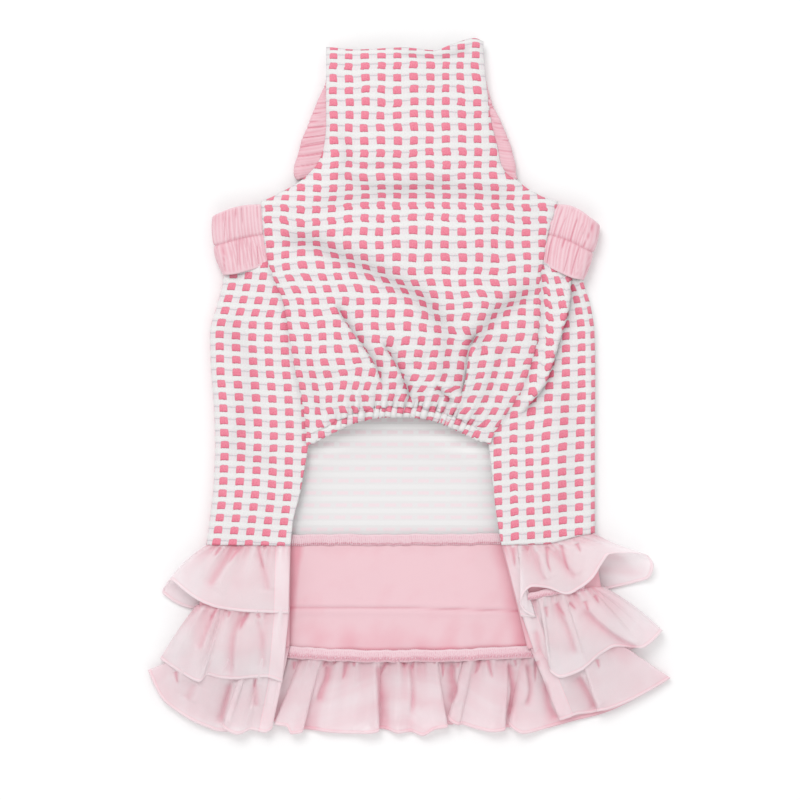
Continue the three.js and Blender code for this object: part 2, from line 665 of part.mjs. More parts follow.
const atMiddle = middleSeam / skirtLength;
const upperLayer = {
  middle: seamSection(atMiddle).top,
  bottom: skirtSection(1).top,
};

function topRuffle() {
  const from = seamSection(0);
  return ruffle({
    cells: [9, 4, 10],
    rows: steps(4),
    seam: (round) => waistLine(round) - seamGap / 2,
    hem: topHem,
    drop: topDrop,
    flare: topFlare,
    wide: spread.top,
    level: waistY,
    from,
    under: () => frill / 2,
    over: (down) => mix(from.top, upperLayer.middle + frillLayer, ease(0, 0.7, down)),
    waves: { front: flapFlutes.top, back: backFlutes.top },
    growth: { front: (down) => ease(0, 1, down), back: () => 0 },
  });
}

function middleRuffle() {
  const from = seamSection(atMiddle);
  return ruffle({
    cells: [9, 4, 10],
    rows: [0, 0.12, 0.35, 0.65, 1],
    seam: middleLine,
    hem: middleHem,
    drop: middleDrop,
    flare: middleFlare,
    wide: spread.middle,
    level: waistY - middleSeam,
    from,
    under: (down) => frill / 2 + frillLayer * (1 - ease(0.12, 0.35, down)),
    over: () => from.top,
    waves: { front: flapFlutes.middle, back: backFlutes.middle },
    growth: { front: (down) => ease(0.2, 1, down), back: () => 0 },
  });
}

// The lowest ruffle settles onto the surface in two steps, on either side of the middle ruffle's hem
const lowest = {
  under: (down) => {
    const settled = 0.45 * ease(0.02, 0.25, down) + 0.55 * ease(0.3, 0.62, down);
    return mix(skirtSection(1).bottom, frill / 2, settled);
  },
  over: (down) => mix(upperLayer.bottom, foldHeight * 0.65, ease(0.38, 1, down)),
};

function bottomRuffle() {
  const from = skirtSection(1);
  return ruffle({
    cells: [9, 4, 48],
    rows: [0, 0.12, 0.32, 0.52, 0.76, 1],
    seam: (round) => bottomLine(round) - seamGap / 2,
    hem: bottomHem,
    drop: bottomDrop,
    flare: bottomFlare,
    wide: spread.bottom,
    level: waistY - skirtLength,
    from,
    under: lowest.under,
    over: lowest.over,
    waves: { front: flapFlutes.bottom, back: backFlutes.bottom },
    growth: { front: (down) => ease(0.38, 1, down), back: (down) => ease(0.14, 0.9, down) },
  });
}

/** A flat overlocked allowance across the inside of the back, between two heights Y. */
function seamAllowance({ from, to, height, left, right }) {
  const cells = 20;
  return sheet({
    across: cells,
    along: 2,
    point: (i, row) => {
      const x = mix(left, right, i / cells);
      const f = row / 2;
      return [x, mix(from(i / cells), to(i / cells), f), height(f)];
    },
    thick: () => strip,
  });
}

function waistSeam() {
  const section = bodySection(waistY);
  return seamAllowance({
    left: section.foldLeft + foldHeight,
    right: section.foldRight - foldHeight,
    from: (u) => waistLine(2 + u) + seamGap / 2,
    to: (u) => waistLine(2 + u) + seamStrip,
    height: () => cloth + lapGap + strip / 2,
  });
}

function ruffleSeam() {
  const section = skirtSection(1);
  const reach = seamStrip / bottomDrop;
  const round = (u) => mix(2.2, 2.8, u);
  return seamAllowance({
    left: section.flapLeft - tuck * 3,
    right: section.flapRight + tuck * 3,
    from: (u) => bottomLine(round(u)) - seamGap / 2,
    to: (u) => bottomLine(round(u)) - seamStrip,
    height: (f) => lowest.under(f * reach) + frill / 2 + lapGap + strip / 2,
  });
}

// The finished dress
const check = { color: 0xf3c3cb, roughness: 0.85 };
const jersey = { color: 0xf2b6c2, roughness: 0.8 };
const chiffon = { color: 0xf6dfe3, roughness: 0.7 };

/** A named sub-part in its own material. */
function piece(name, geometry, finish) {
  const mesh = new THREE.Mesh(geometry, new THREE.MeshStandardMaterial({ ...finish, metalness: 0 }));
  mesh.name = name;
  return mesh;
}

const dress = new THREE.Group();
dress.add(
  piece('back_panel', backPanel(), check),
  piece('chest_panel', chestPanel(), check),
  piece('belly_casing', bellyCasing(), check),
  piece('leg_cuff_left', legCuff(-1), jersey),
  piece('leg_cuff_right', legCuff(1), jersey),
  piece('neck_gusset_left', neckGusset(-1), jersey),
  piece('neck_gusset_right', neckGusset(1), jersey),
  piece('skirt_base', skirtBase(), jersey),
  piece('waist_seam', waistSeam(), jersey),
  piece('ruffle_seam', ruffleSeam(), jersey),
  piece('ruffle_top', topRuffle(), chiffon),
  piece('ruffle_middle', middleRuffle(), chiffon),
  piece('ruffle_bottom', bottomRuffle(), chiffon));

export default dress;
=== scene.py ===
# %% [markdown]
# # A small dog's dress, lying belly side up
# The dress is a check knit bodice with ruched jersey bands and a skirt of three chiffon ruffles. A real one
# is cut from flat cloth, sewn, and then laid down. It could be made by a cloth simulation, but then every
# fold would fall where it liked. So each piece is built here as its own sheet on a fine grid, with the
# folds placed where the laid-out dress has them.

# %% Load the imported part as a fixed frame
import bpy
import numpy as np
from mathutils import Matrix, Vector


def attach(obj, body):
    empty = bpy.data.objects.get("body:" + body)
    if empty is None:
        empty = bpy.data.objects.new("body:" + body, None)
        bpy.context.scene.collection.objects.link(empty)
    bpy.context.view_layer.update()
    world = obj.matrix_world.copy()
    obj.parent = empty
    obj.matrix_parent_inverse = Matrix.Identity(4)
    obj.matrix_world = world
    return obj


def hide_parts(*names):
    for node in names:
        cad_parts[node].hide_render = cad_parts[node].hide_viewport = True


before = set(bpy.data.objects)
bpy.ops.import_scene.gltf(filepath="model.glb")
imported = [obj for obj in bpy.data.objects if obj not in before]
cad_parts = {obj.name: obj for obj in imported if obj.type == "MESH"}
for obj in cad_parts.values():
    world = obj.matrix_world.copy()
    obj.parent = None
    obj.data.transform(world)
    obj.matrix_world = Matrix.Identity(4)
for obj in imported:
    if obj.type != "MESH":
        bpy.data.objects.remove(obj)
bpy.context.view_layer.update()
MM = 0.001
print("solids in the frame:", len(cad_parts))

# %% [markdown]
# ## Sizes
# Lengths are in millimetres, as on a cutting table, and turn into metres only when a mesh is made. X runs
# across the chest, Y from the hem toward the neck, Z up. Each solid of the frame holds the place of one
# piece, and the sizes below are the same as those that the solids were made from, so the cloth lies there.

# %% The dress's own sizes
bodice_width, bodice_length = 191, 171
neck_width, neck_height, neck_shift = 78, 79, -0.027
gusset_reach, cuff_height, arch_rise, casing_height = 12.5, 30, 64, 5
loft, fold_height, cuff_loft = 15, 7.5, 11
armhole_dips = {-1: 0.22, 1: 0.3}
skirt_length, middle_seam, skirt_flare = 53, 30, 9
cloth, chiffon_cloth, band_cloth = 1.2, 0.35, 2.2
half = bodice_width / 2
waist_y = -0.45 * bodice_length
shoulder_y = waist_y + bodice_length
armhole_y = shoulder_y - cuff_height
fold_top = fold_height - cloth / 2
print("waist at", round(waist_y, 1), "shoulder at", round(shoulder_y, 1))

# %% [markdown]
# ## Outlines from short tables
# An outline could be a Bezier curve drawn by hand. A short table with a named column for each edge is easier
# to read and to change, and one function turns a column into a smooth curve that stays between its rows.

# %% Tables read as smooth curves
def mix(a, b, share):
    return a + (b - a) * share


def ease(low, high, value):
    share = np.clip((value - low) / (high - low), 0, 1)
    return share * share * (3 - 2 * share)


def table(names, *rows):
    return [dict(zip(names.split(), row)) for row in rows]


def column(rows, at, name):
    """One column of a table as a smooth function of another, without overshoot between its rows."""
    xs, ys = (np.array([row[key] for row in rows], float) for key in (at, name))
    rise = np.diff(ys) / np.diff(xs)
    inner = [0 if a * b <= 0 else 2 * a * b / (a + b) for a, b in zip(rise, rise[1:])]
    slopes = np.array([rise[0], *inner, rise[-1]])

    def read(x):
        x = np.clip(x, xs[0], xs[-1])
        k = np.clip(np.searchsorted(xs, x, side="right") - 1, 0, len(xs) - 2)
        span = xs[k + 1] - xs[k]
        f = (x - xs[k]) / span
        g = 1 - f
        return (ys[k] * g * g * (1 + 2 * f) + ys[k + 1] * f * f * (1 + 2 * g)
                + slopes[k] * span * f * g * g - slopes[k + 1] * span * g * f * f)
    return read


print("a quarter of the way, an eased step stands at", round(float(ease(0, 1, 0.25)), 3))

# %% [markdown]
# ## Outline and lie of the bodice
# The side folds and side seams are shares of the half width, the neck's sides shares of the way from the
# shoulder to the neck's own edge, and the two gathered edges shares of their heights. The chest panel lies
# highest along its middle and lower at its seams, so its height is a second pair of tables.

# %% Outline of the bodice, from the waist seam (up = 0) to the shoulder seam (up = 1)
bodice = table("up fold_left seam_left seam_right fold_right",
               (0.00, -1.057, -0.620, 0.484, 0.968), (0.07, -1.039, -0.606, 0.462, 0.968),
               (0.17, -1.019, -0.563, 0.440, 0.968), (0.29, -1.010, -0.535, 0.424, 0.968),
               (0.38, -1.014, -0.546, 0.503, 0.969), (0.45, -1.022, -0.566, 0.585, 0.970),
               (0.50, -1.030, -0.590, 0.620, 0.970), (0.62, -1.037, -0.628, 0.674, 0.966),
               (0.70, -1.000, -0.651, 0.686, 0.945), (0.78, -0.966, -0.706, 0.686, 0.905),
               (0.83, -0.960, -0.735, 0.700, 0.900), (0.90, -0.960, -0.756, 0.720, 0.900),
               (1.00, -0.960, -0.770, 0.775, 0.900))
neck = table("up in_left in_right gusset_left gusset_right",
             (0.00, 0.000, 0.050, 0.00, 0.00), (0.08, 0.380, 0.380, 0.00, 0.00),
             (0.13, 0.590, 0.520, 0.10, 0.05), (0.18, 0.730, 0.680, 0.58, 0.34),
             (0.25, 0.870, 0.767, 0.90, 0.57), (0.36, 0.966, 0.815, 0.95, 0.53),
             (0.50, 1.000, 0.890, 0.70, 0.40), (0.63, 1.000, 0.930, 0.37, 0.13),
             (0.78, 1.000, 0.968, 0.00, 0.00), (0.95, 1.000, 1.000, -0.08, -0.08))
neck_edge = table("u height", (0.00, 0.984), (0.20, 0.962), (0.50, 0.972), (0.69, 0.956),
                  (0.80, 0.994), (0.95, 1.037), (1.00, 1.018))
arch_edge = table("u height", (0.00, 0.775), (0.11, 0.852), (0.18, 0.906), (0.29, 0.972), (0.42, 1.000),
                  (0.52, 1.000), (0.60, 0.988), (0.68, 0.960), (0.75, 0.920), (0.82, 0.884),
                  (0.91, 0.828), (1.00, 0.794))
print("rows in the outline:", len(bodice) + len(neck) + len(neck_edge) + len(arch_edge))

# %% Where each edge runs, in millimetres
def up_bodice(y):
    return (y - waist_y) / bodice_length


def up_neck(y):
    return (y - shoulder_y) / neck_height


def edge_x(side, y):
    """Where the chest panel's edge runs: the side seam, then the shoulder and the side of the neck."""
    seam = column(bodice, "up", "seam_left" if side < 0 else "seam_right")
    inward = column(neck, "up", "in_left" if side < 0 else "in_right")
    shoulder = seam(np.minimum(up_bodice(y), 1)) * half
    share = np.where(np.asarray(y) > shoulder_y, inward(up_neck(y)), 0)
    return mix(shoulder, (neck_shift + side / 2) * neck_width, share)


def fold_x(side, y):
    return column(bodice, "up", "fold_left" if side < 0 else "fold_right")(up_bodice(y)) * half


neck_edge_share = column(neck_edge, "u", "height")
arch_share = column(arch_edge, "u", "height")


def neck_edge_y(u):
    return shoulder_y + neck_height * neck_edge_share(u)


def arch_y(u):
    return waist_y + arch_rise * arch_share(u)


print("belly hem's highest point:", round(float(arch_y(0.47)), 1))

# %% How high the chest panel lies, at its edges and along its middle, as shares of the loft
lie = table("up edge crown", (0.28, 0.48, 0.68), (0.45, 0.57, 0.91), (0.65, 0.62, 1.00), (0.82, 0.60, 1.00),
            (0.96, 0.58, 0.94))
neck_lie = table("up edge crown", (0.00, 0.56, 0.93), (0.055, 0.30, 0.90), (0.12, 0.41, 0.86),
                 (0.20, 0.43, 0.82), (0.50, 0.43, 0.78), (1.00, 0.43, 0.74))


def lift(y, name):
    """Height of the chest panel's edge or crown at a height Y."""
    below = column(lie, "up", name)(up_bodice(y))
    above = column(neck_lie, "up", name)(up_neck(y))
    return loft * np.where(np.asarray(y) < shoulder_y, below, above)


def panel_z(u, y):
    """Height of the chest panel at a share u of the way across it."""
    arch = 1 - np.abs(2 * u - 1) ** 2.4
    return mix(lift(y, "edge"), lift(y, "crown"), arch)


print("chest panel's crown at the armholes:", round(float(panel_z(0.5, armhole_y)), 1))

# %% [markdown]
# ## Folds
# A soft fold in laid-out cloth is a long valley with rounded sides. A sharp one is where the cloth laps:
# it rises slowly to a lip and drops at once on the other side. Both are heights added along a smooth path,
# so one function makes them all, and a seeded set of long waves keeps flat cloth from looking ironed.

# %% Beside a path
def smooth_path(places, count=70):
    """A smooth line through a few places."""
    places = np.array(places, float)
    at = np.arange(len(places))
    rows = [{"at": k, "x": x, "y": y} for k, (x, y) in enumerate(places)]
    fine = np.linspace(0, at[-1], count)
    return np.stack([column(rows, "at", "x")(fine), column(rows, "at", "y")(fine)], -1)


def beside(x, y, places):
    """Distance to the left of a path (right is negative), the share of it passed, and which way is left."""
    path = smooth_path(places)
    away = np.stack([x, y], -1)[..., None, :] - path
    nearest = np.argmin((away ** 2).sum(-1), -1)
    heading = np.gradient(path, axis=0)
    heading /= np.linalg.norm(heading, axis=1)[:, None]
    gap = np.take_along_axis(away, nearest[..., None, None], -2)[..., 0, :]
    side = heading[nearest]
    cross = side[..., 0] * gap[..., 1] - side[..., 1] * gap[..., 0]
    leftward = np.stack([-side[..., 1], side[..., 0]], -1)
    return np.sign(cross) * np.linalg.norm(gap, axis=-1), nearest / (len(path) - 1), leftward


print("a point 3 mm to the left of a path:", round(float(beside(-3.0, 5.0, [(0, 0), (0, 10)])[0]), 1))

# %% Heights of folds and of slack cloth
def folded(x, y, laps, valleys):
    """What folds do to flat cloth: height they add, cloth they hide and how much shade is painted beside
    them.
    A lap stands up to a lip on the left of its path over a dip on the right. A valley is rounded, and "take"
    is how much cloth goes into either."""
    height, tone, shift = np.zeros_like(x), np.zeros_like(x), np.zeros((*x.shape, 2))
    # tone collects painted shade: under each lap and along each valley the cloth is marked darker.
    for f in laps + valleys:
        left, share, leftward = beside(x, y, f["places"])
        fade = ease(0, 0.22, share) * ease(0, 0.14, 1 - share)
        reach = fade * np.exp(-(left / f["width"]) ** 2)
        if "lip" in f:
            over = 0.5 + 0.5 * np.tanh(left / 0.5)
            height = height + reach * (f["lip"] * over - f["dip"] * (1 - over))
            tone = tone + 0.95 * (1 - over) * fade * np.exp(-(left / (0.75 * f["width"])) ** 2)
            spread = 0.09 * f["width"]
        else:
            height = height + f["rise"] * reach
            tone = tone - 0.17 * min(f["rise"], 0) * fade * np.exp(-(left / (0.8 * f["width"])) ** 2)
            spread = 0.9 * f["width"]
        far = np.exp(-(left / 34) ** 2)
        shift = shift + leftward * (f["take"] / 2 * np.tanh(left / spread) * fade * far)[..., None]
    return height, shift, np.clip(tone, 0, 1)


def slack(x, y, wave, seed):
    """Gentle waves of about the given length, from -1 to 1."""
    rng = np.random.default_rng(seed)
    total = 0
    for _ in range(6):
        turn, phase = rng.uniform(0, np.pi), rng.uniform(0, 2 * np.pi)
        length = wave * rng.uniform(0.75, 1.5)
        total = total + np.sin(2 * np.pi * (x * np.cos(turn) + y * np.sin(turn)) / length + phase)
    return total / 4


def gathers(along, pitch, seed):
    """Uneven narrow pleats along a line, 0 between them and 1 on top."""
    rng = np.random.default_rng(seed)
    drift = sum(rng.uniform(0.25, 0.5) * np.sin(2 * np.pi * along / (pitch * k) + rng.uniform(0, 6))
                for k in (3.1, 5.3, 9.7))
    return (0.5 - 0.5 * np.cos(2 * np.pi * along / pitch + 2.2 * drift)) ** 1.3


print("a row of 4 mm pleats reaches", round(float(gathers(np.arange(0, 80, 0.5), 4, 1).max()), 2))

# %% [markdown]
# ## Cloth as a solid sheet
# Real cloth has two faces and a cut edge. A plane with a Solidify modifier would do, but these sheets need
# their own flat coordinates, holes cut along grid lines, and a thickness that changes at a hem. So one
# function thickens a grid along its normals and closes the sides. "flat" holds each point's place on the
# uncut cloth in millimetres: the woven pattern is drawn there, so it bends and crowds with the folds.

# %% Lengths and normals of a grid
def run(points, axis):
    """Length walked along the cloth from the start of each grid line."""
    step = np.linalg.norm(np.diff(points, axis=axis), axis=-1)
    start = np.zeros_like(np.take(step, [0], axis=axis))
    return np.concatenate([start, np.cumsum(step, axis=axis)], axis=axis)


def grid_normals(points, outside):
    normals = np.cross(np.gradient(points, axis=1), np.gradient(points, axis=0)) * outside
    return normals / np.maximum(np.linalg.norm(normals, axis=-1), 1e-9)[..., None]


print("length of a 3, 4 step:", run(np.array([[0.0, 0.0], [3.0, 4.0]]), 0)[-1])

# %% Faces of a closed sheet
def sheet_faces(kept, turned):
    """Faces of both sides and along every cut edge, and how many of them one side has. kept says which
    cells of the grid are cloth, and turned swaps the two sides."""
    rows, columns = kept.shape[0] + 1, kept.shape[1] + 1
    count = rows * columns
    number = np.arange(count).reshape(rows, columns)
    corners = np.stack([number[:-1, :-1], number[:-1, 1:], number[1:, 1:], number[1:, :-1]], -1)
    padded = np.pad(kept, 1)
    neighbours = [padded[:-2, 1:-1], padded[1:-1, 2:], padded[2:, 1:-1], padded[1:-1, :-2]]
    if turned:
        corners = corners[..., [1, 0, 3, 2]]
        neighbours[1], neighbours[3] = neighbours[3], neighbours[1]
    front = corners[kept]
    walls = []
    for k, neighbour in enumerate(neighbours):
        p, q = (corners[..., c][kept & ~neighbour] for c in (k, (k + 1) % 4))
        walls.append(np.stack([q, p, p + count, q + count], -1))
    return np.concatenate([front, front[:, ::-1] + count, *walls]), len(front)


print("faces of a sheet of one cell:", len(sheet_faces(np.ones((1, 1), bool), False)[0]))

# %% Grid to cloth
def in_scene(mesh, finishes):
    """An object for a mesh, with its materials."""
    for finish in finishes:
        mesh.materials.append(finish)
    mesh.shade_smooth()
    piece = bpy.data.objects.new(mesh.name, mesh)
    bpy.context.scene.collection.objects.link(piece)
    return piece


def cloth_mesh(name, middle, thick, flat, finishes, outside=1, kept=None, raised=None, marks=None):
    """A closed sheet around a grid of points. finishes are the materials of its right and wrong side,
    outside is -1 where the grid's own normals point to the wrong side, raised moves the sheet along its
    normals, and marks are values at the points for the materials to read."""
    normals = grid_normals(middle, outside)
    if raised is not None:
        middle = middle + normals * raised[..., None]
    shape = middle.shape[:2]
    offset = normals * (np.broadcast_to(thick, shape) / 2)[..., None]
    kept = np.ones((shape[0] - 1, shape[1] - 1), bool) if kept is None else kept
    faces, one_side = sheet_faces(kept, outside < 0)
    used, faces = np.unique(faces, return_inverse=True)
    faces = faces.reshape(-1, 4)
    places = np.concatenate([(middle + offset).reshape(-1, 3), (middle - offset).reshape(-1, 3)])[used]
    mesh = bpy.data.meshes.new(name)
    mesh.from_pydata((places * MM).tolist(), [], faces.tolist())
    layer = mesh.uv_layers.new(name="flat")
    layer.data.foreach_set("uv", np.tile(flat.reshape(-1, 2), (2, 1))[used][faces.ravel()].ravel())
    for mark, values in (marks or {}).items():
        attribute = mesh.attributes.new(mark, "FLOAT", "POINT")
        both_sides = np.tile(np.broadcast_to(values, shape).ravel(), 2)
        attribute.data.foreach_set("value", both_sides[used].astype(float))
    piece = in_scene(mesh, finishes)
    finish_number = np.zeros(len(faces), int)
    finish_number[one_side:2 * one_side] = len(finishes) - 1
    mesh.polygons.foreach_set("material_index", finish_number)
    area = sum(face.area for face in mesh.polygons) / 2
    print(name, "faces", len(faces), "cloth area", round(area, 4), "m2")
    return piece


# %% [markdown]
# ## Thread
# Overlock thread lies in short loops. A curve with a bevel would give each one a tube, but hundreds of curve
# objects are slow. One mesh of five-sided tubes, thinner at their ends, holds a whole row of them.

# %% Short threads as one mesh
thread_sides, thread_end = 5, 0.55
nearly_up = (0.0, 0.13, 1.0)


def strands_mesh(name, paths, radius, finish):
    """Many short threads as one mesh. paths holds one line of points for each thread."""
    ring = np.linspace(0, 2 * np.pi, thread_sides, endpoint=False)
    places, faces = [], []
    for path in paths:
        path = np.asarray(path, float)
        heading = np.gradient(path, axis=0)
        heading /= np.linalg.norm(heading, axis=1)[:, None]
        across = np.cross(heading, nearly_up)
        across /= np.linalg.norm(across, axis=1)[:, None]
        upward = np.cross(across, heading)
        start = len(places)
        for k, place in enumerate(path):
            reach = radius * (thread_end if k in (0, len(path) - 1) else 1)
            for angle in ring:
                places.append(place + reach * (np.cos(angle) * across[k] + np.sin(angle) * upward[k]))
        for k in range(len(path) - 1):
            for s in range(thread_sides):
                a, b = (start + k * thread_sides + corner % thread_sides for corner in (s, s + 1))
                faces.append((a, a + thread_sides, b + thread_sides, b))
        last = start + (len(path) - 1) * thread_sides
        faces.append(tuple(start + s for s in range(thread_sides)))
        faces.append(tuple(last + s for s in reversed(range(thread_sides))))
    mesh = bpy.data.meshes.new(name)
    mesh.from_pydata((np.array(places) * MM).tolist(), [], faces)
    print(name, "threads", len(paths), "faces", len(faces))
    return in_scene(mesh, (finish,))


# %% [markdown]
# ## Shader arithmetic
# A node tree is arithmetic drawn as boxes. This small class wraps one socket so that the arithmetic can be
# written as Python: "1 - mask" adds a Math node. Colours go through the Mix node, because a Math node would
# turn them grey.

# %% One socket of a material
class Socket:
    def __init__(self, tree, socket=None):
        self.tree, self.socket = tree, socket

    def node(self, kind, settings=None, inputs=None, out=0):
        """Adds a node: its settings first, then a value or a link for each input."""
        made = self.tree.nodes.new("ShaderNode" + kind)
        for name, value in (settings or {}).items():
            setattr(made, name, value)
        for key, value in (inputs or {}).items():
            if isinstance(value, Socket):
                self.tree.links.new(value.socket, made.inputs[key])
            else:
                made.inputs[key].default_value = value
        return Socket(self.tree, made.outputs[out] if made.outputs else None)

    def math(self, operation, *others):
        return self.node("Math", {"operation": operation}, dict(enumerate((self, *others))))

    def __add__(self, other):
        return self.math("ADD", other)

    def __sub__(self, other):
        return self.math("SUBTRACT", other)

    def __mul__(self, other):
        return self.math("MULTIPLY", other)

    def __truediv__(self, other):
        return self.math("DIVIDE", other)

    def __pow__(self, other):
        return self.math("POWER", other)

    def __rsub__(self, other):
        return self.node("Math", {"operation": "SUBTRACT"}, {0: other, 1: self})

    __radd__ = __add__

    def size(self):
        return self.math("ABSOLUTE")

    def step(self, low, high):
        """0 below low, 1 above high and a smooth rise between. With low above high it falls instead."""
        settings = {"interpolation_type": "SMOOTHSTEP"}
        if low < high:
            return self.node("MapRange", settings, {"Value": self, "From Min": low, "From Max": high})
        return 1 - self.node("MapRange", settings, {"Value": self, "From Min": high, "From Max": low})

    def tint(self, first, second):
        """The first colour where this value is 0, the second where it is 1."""
        return self.node("Mix", {"data_type": "RGBA"}, {0: self, 6: first, 7: second}, out=2)


# %% Colours and finishes
def dye(red, green, blue):
    """A colour as a photo editor shows it, turned into the linear light that a shader wants."""
    return tuple(((c / 255 + 0.055) / 1.055) ** 2.4 for c in (red, green, blue)) + (1.0,)


def finish_of(name, constants, looks, sheer=0):
    """A material: constants are typed into the shader's sockets, looks gives those that vary.
    sheer is the share of light that the cloth passes on to its other side."""
    material = bpy.data.materials.new(name)
    material.use_nodes = True
    tree = material.node_tree
    tree.nodes.clear()
    start = Socket(tree)
    place = start.node("UVMap", {"uv_map": "flat"})
    u, v = (start.node("SeparateXYZ", None, {0: place}, out=k) for k in (0, 1))
    look = looks(start, place, u, v)
    shader = start.node("BsdfPrincipled", None, {**constants, **look})
    if sheer:
        passed = start.node("BsdfTranslucent", None, {"Color": look["Base Color"], "Normal": look["Normal"]})
        shader = start.node("MixShader", None, {0: sheer, 1: shader, 2: passed})
        material.surface_render_method = "BLENDED"
    start.node("OutputMaterial", None, {"Surface": shader})
    return material


def mark(start, name):
    """A value that a piece carries at its points, 0 where it has none."""
    return start.node("Attribute", {"attribute_name": name}, None, out=2)


def speckle(start, place, scale, detail=2.0):
    """Soft random patches on the flat cloth, about 0.5 on average."""
    return start.node("TexNoise", {"noise_dimensions": "2D"},
                      {"Vector": place, "Scale": scale, "Detail": detail}, out=0)


print("middle grey as light:", round(dye(128, 128, 128)[0], 3))

# %% [markdown]
# ## Check knit
# The bodice is a knit with raised white cords running across and rows of rose pink blocks between them, a
# repeat of about 8 by 6 mm. It could be an image, but a pattern worked out from the flat coordinates stays
# sharp at any distance. The blocks lie a little lower than the cords, so a bump follows the same numbers.

# %% Repeat of the check and its right side
pitch_across, pitch_up = 8.06, 6.1
block_across, block_up = 0.255, 0.305


def check_cells(start, place, u, v):
    """Place within one repeat, -0.5 to 0.5 each way, with the unevenness of a real knit."""
    drift = (speckle(start, place, 0.16) - 0.5) * 0.06
    wave = (speckle(start, place, 0.9, 1.0) - 0.5) * 0.05
    across = (u / pitch_across + drift).math("FRACT") - 0.5
    up = (v / pitch_up + wave).math("FRACT") - 0.5
    return across, up


def check_right_side(start, place, u, v):
    across, up = check_cells(start, place, u, v)
    yarn = speckle(start, place, 1.5, 4.0)
    bow = across * across * 0.5 + across * 0.05
    reach = (across.size() / block_across) ** 7 + ((up + bow - 0.012).size() / block_up) ** 7
    block = (reach + (yarn - 0.5) * 1.2).step(1.5, 0.6)
    between = (1 - block) * up.size().step(0.36, 0.26)
    # shade_line is a painted shadow: a thin grey line below each cord.
    shade_line = (up - 0.12 + (yarn - 0.5) * 0.08).size().step(0.075, 0.01) * (1 - block)
    shade_line = shade_line * across.size().step(0.2, 0.3)
    hairs = (across.size() - 0.41).size().step(0.04, 0.01) * between
    # under is a painted shadow: a dark line along the lower edge of each block.
    under = (up + bow + 0.29).size().step(0.075, 0.02) * across.size().step(0.29, 0.24)
    # depth mixes the yarn's random tone with painted shade that darkens each block toward its lower and right
    # edges.
    depth = (yarn * 0.9 + up * -0.45 + across * 0.15).step(0.1, 0.9)
    pink = depth.tint(dye(231, 140, 159), dye(214, 106, 129))
    pink = (under * 0.6).tint(pink, dye(176, 78, 100))
    # The mark read here paints shade: the pink blocks and the white between them turn darker where folds,
    # creases and seams lie in shadow.
    crease_and_painted_shade = mark(start, "crease_and_painted_shade")
    pink = (crease_and_painted_shade * 0.8).tint(pink, dye(178, 66, 94))
    ground = (between * 0.7).tint(dye(226, 225, 224), dye(221, 216, 218))
    ground = (yarn.step(0.62, 0.3) * 0.4).tint(ground, dye(208, 207, 208))
    ground = (shade_line * 0.6).tint(ground, dye(180, 180, 187))
    ground = (hairs * 0.4).tint(ground, dye(232, 196, 208))
    ground = (crease_and_painted_shade * 0.8).tint(ground, dye(182, 178, 180))
    height = (1 - block) * 0.55 + yarn * 0.75 - shade_line * 0.5 - under * 0.5
    bump = start.node("Bump", None, {"Strength": 0.75, "Distance": 0.0004, "Height": height})
    return {"Base Color": block.tint(ground, pink), "Normal": bump}


knit_feel = {"Roughness": 0.82, "Specular IOR Level": 0.25, "Sheen Weight": 0.12, "Sheen Roughness": 0.5}
check_knit = finish_of("check_knit_right_side", knit_feel, check_right_side)
print("check repeat", pitch_across, "by", pitch_up, "mm")

# %% Wrong side of the check knit: white cords and pale dashes, with painted shade far in from the arch
def check_wrong_side(start, place, u, v):
    across, up = check_cells(start, place, u, v)
    cord = up.size().step(0.24, 0.36)
    dash = across.size().step(0.4, 0.28) * up.size().step(0.2, 0.08)
    yarn = speckle(start, place, 2.2, 3.0)
    # Painted shade: the white turns darker the farther it lies in from the belly opening, and the rows
    # between the cords a little greyer in their hollows.
    white_with_painted_shade = mark(start, "painted_shade_from_arch").tint(dye(250, 250, 249), dye(224, 223, 223))
    ground = ((1 - cord) * 0.4).tint(white_with_painted_shade, dye(216, 211, 213))
    colour = (dash * 0.45).tint(ground, dye(236, 206, 214))
    height = cord + yarn * 0.2
    bump = start.node("Bump", None, {"Strength": 0.25, "Distance": 0.0004, "Height": height})
    return {"Base Color": colour, "Normal": bump}


check_wrong = finish_of("check_knit_wrong_side", knit_feel, check_wrong_side)
print("nodes of the wrong side:", len(check_wrong.node_tree.nodes))

# %% [markdown]
# ## Jersey, overlock thread and chiffon
# Jersey is a fine smooth knit, so it shows faint ribs and little else. Chiffon is sheer: one layer lets the
# colour below through, and two layers look deeper. Each chiffon sheet has two faces, so each face hides only
# part of what is behind it. At a hem the cloth is doubled, which makes it less sheer and a little darker.

# %% Jersey, plain and ruched
jersey_rib = 0.55


def jersey(light, deep):
    def looks(start, place, u, v):
        cloud = speckle(start, place, 0.06, 3.0)
        grain = speckle(start, place, 3.2, 2.0)
        # The mark read here paints shade: it tints the jersey toward the deep pink in creases, between ribs
        # and in shadows.
        crease_and_painted_shade = mark(start, "crease_and_painted_shade")
        tone = (crease_and_painted_shade * 0.9 + (cloud - 0.5) * 0.35 + (grain - 0.5) * 0.12).math("MAXIMUM", 0.0)
        ribs = (u * (2 * np.pi / jersey_rib)).math("SINE") * 0.5 + 0.5
        height = ribs * 0.5 + grain * 0.5
        bump = start.node("Bump", None, {"Strength": 0.35, "Distance": 0.00018, "Height": height})
        return {"Base Color": tone.math("MINIMUM", 1.0).tint(light, deep), "Normal": bump}
    return looks


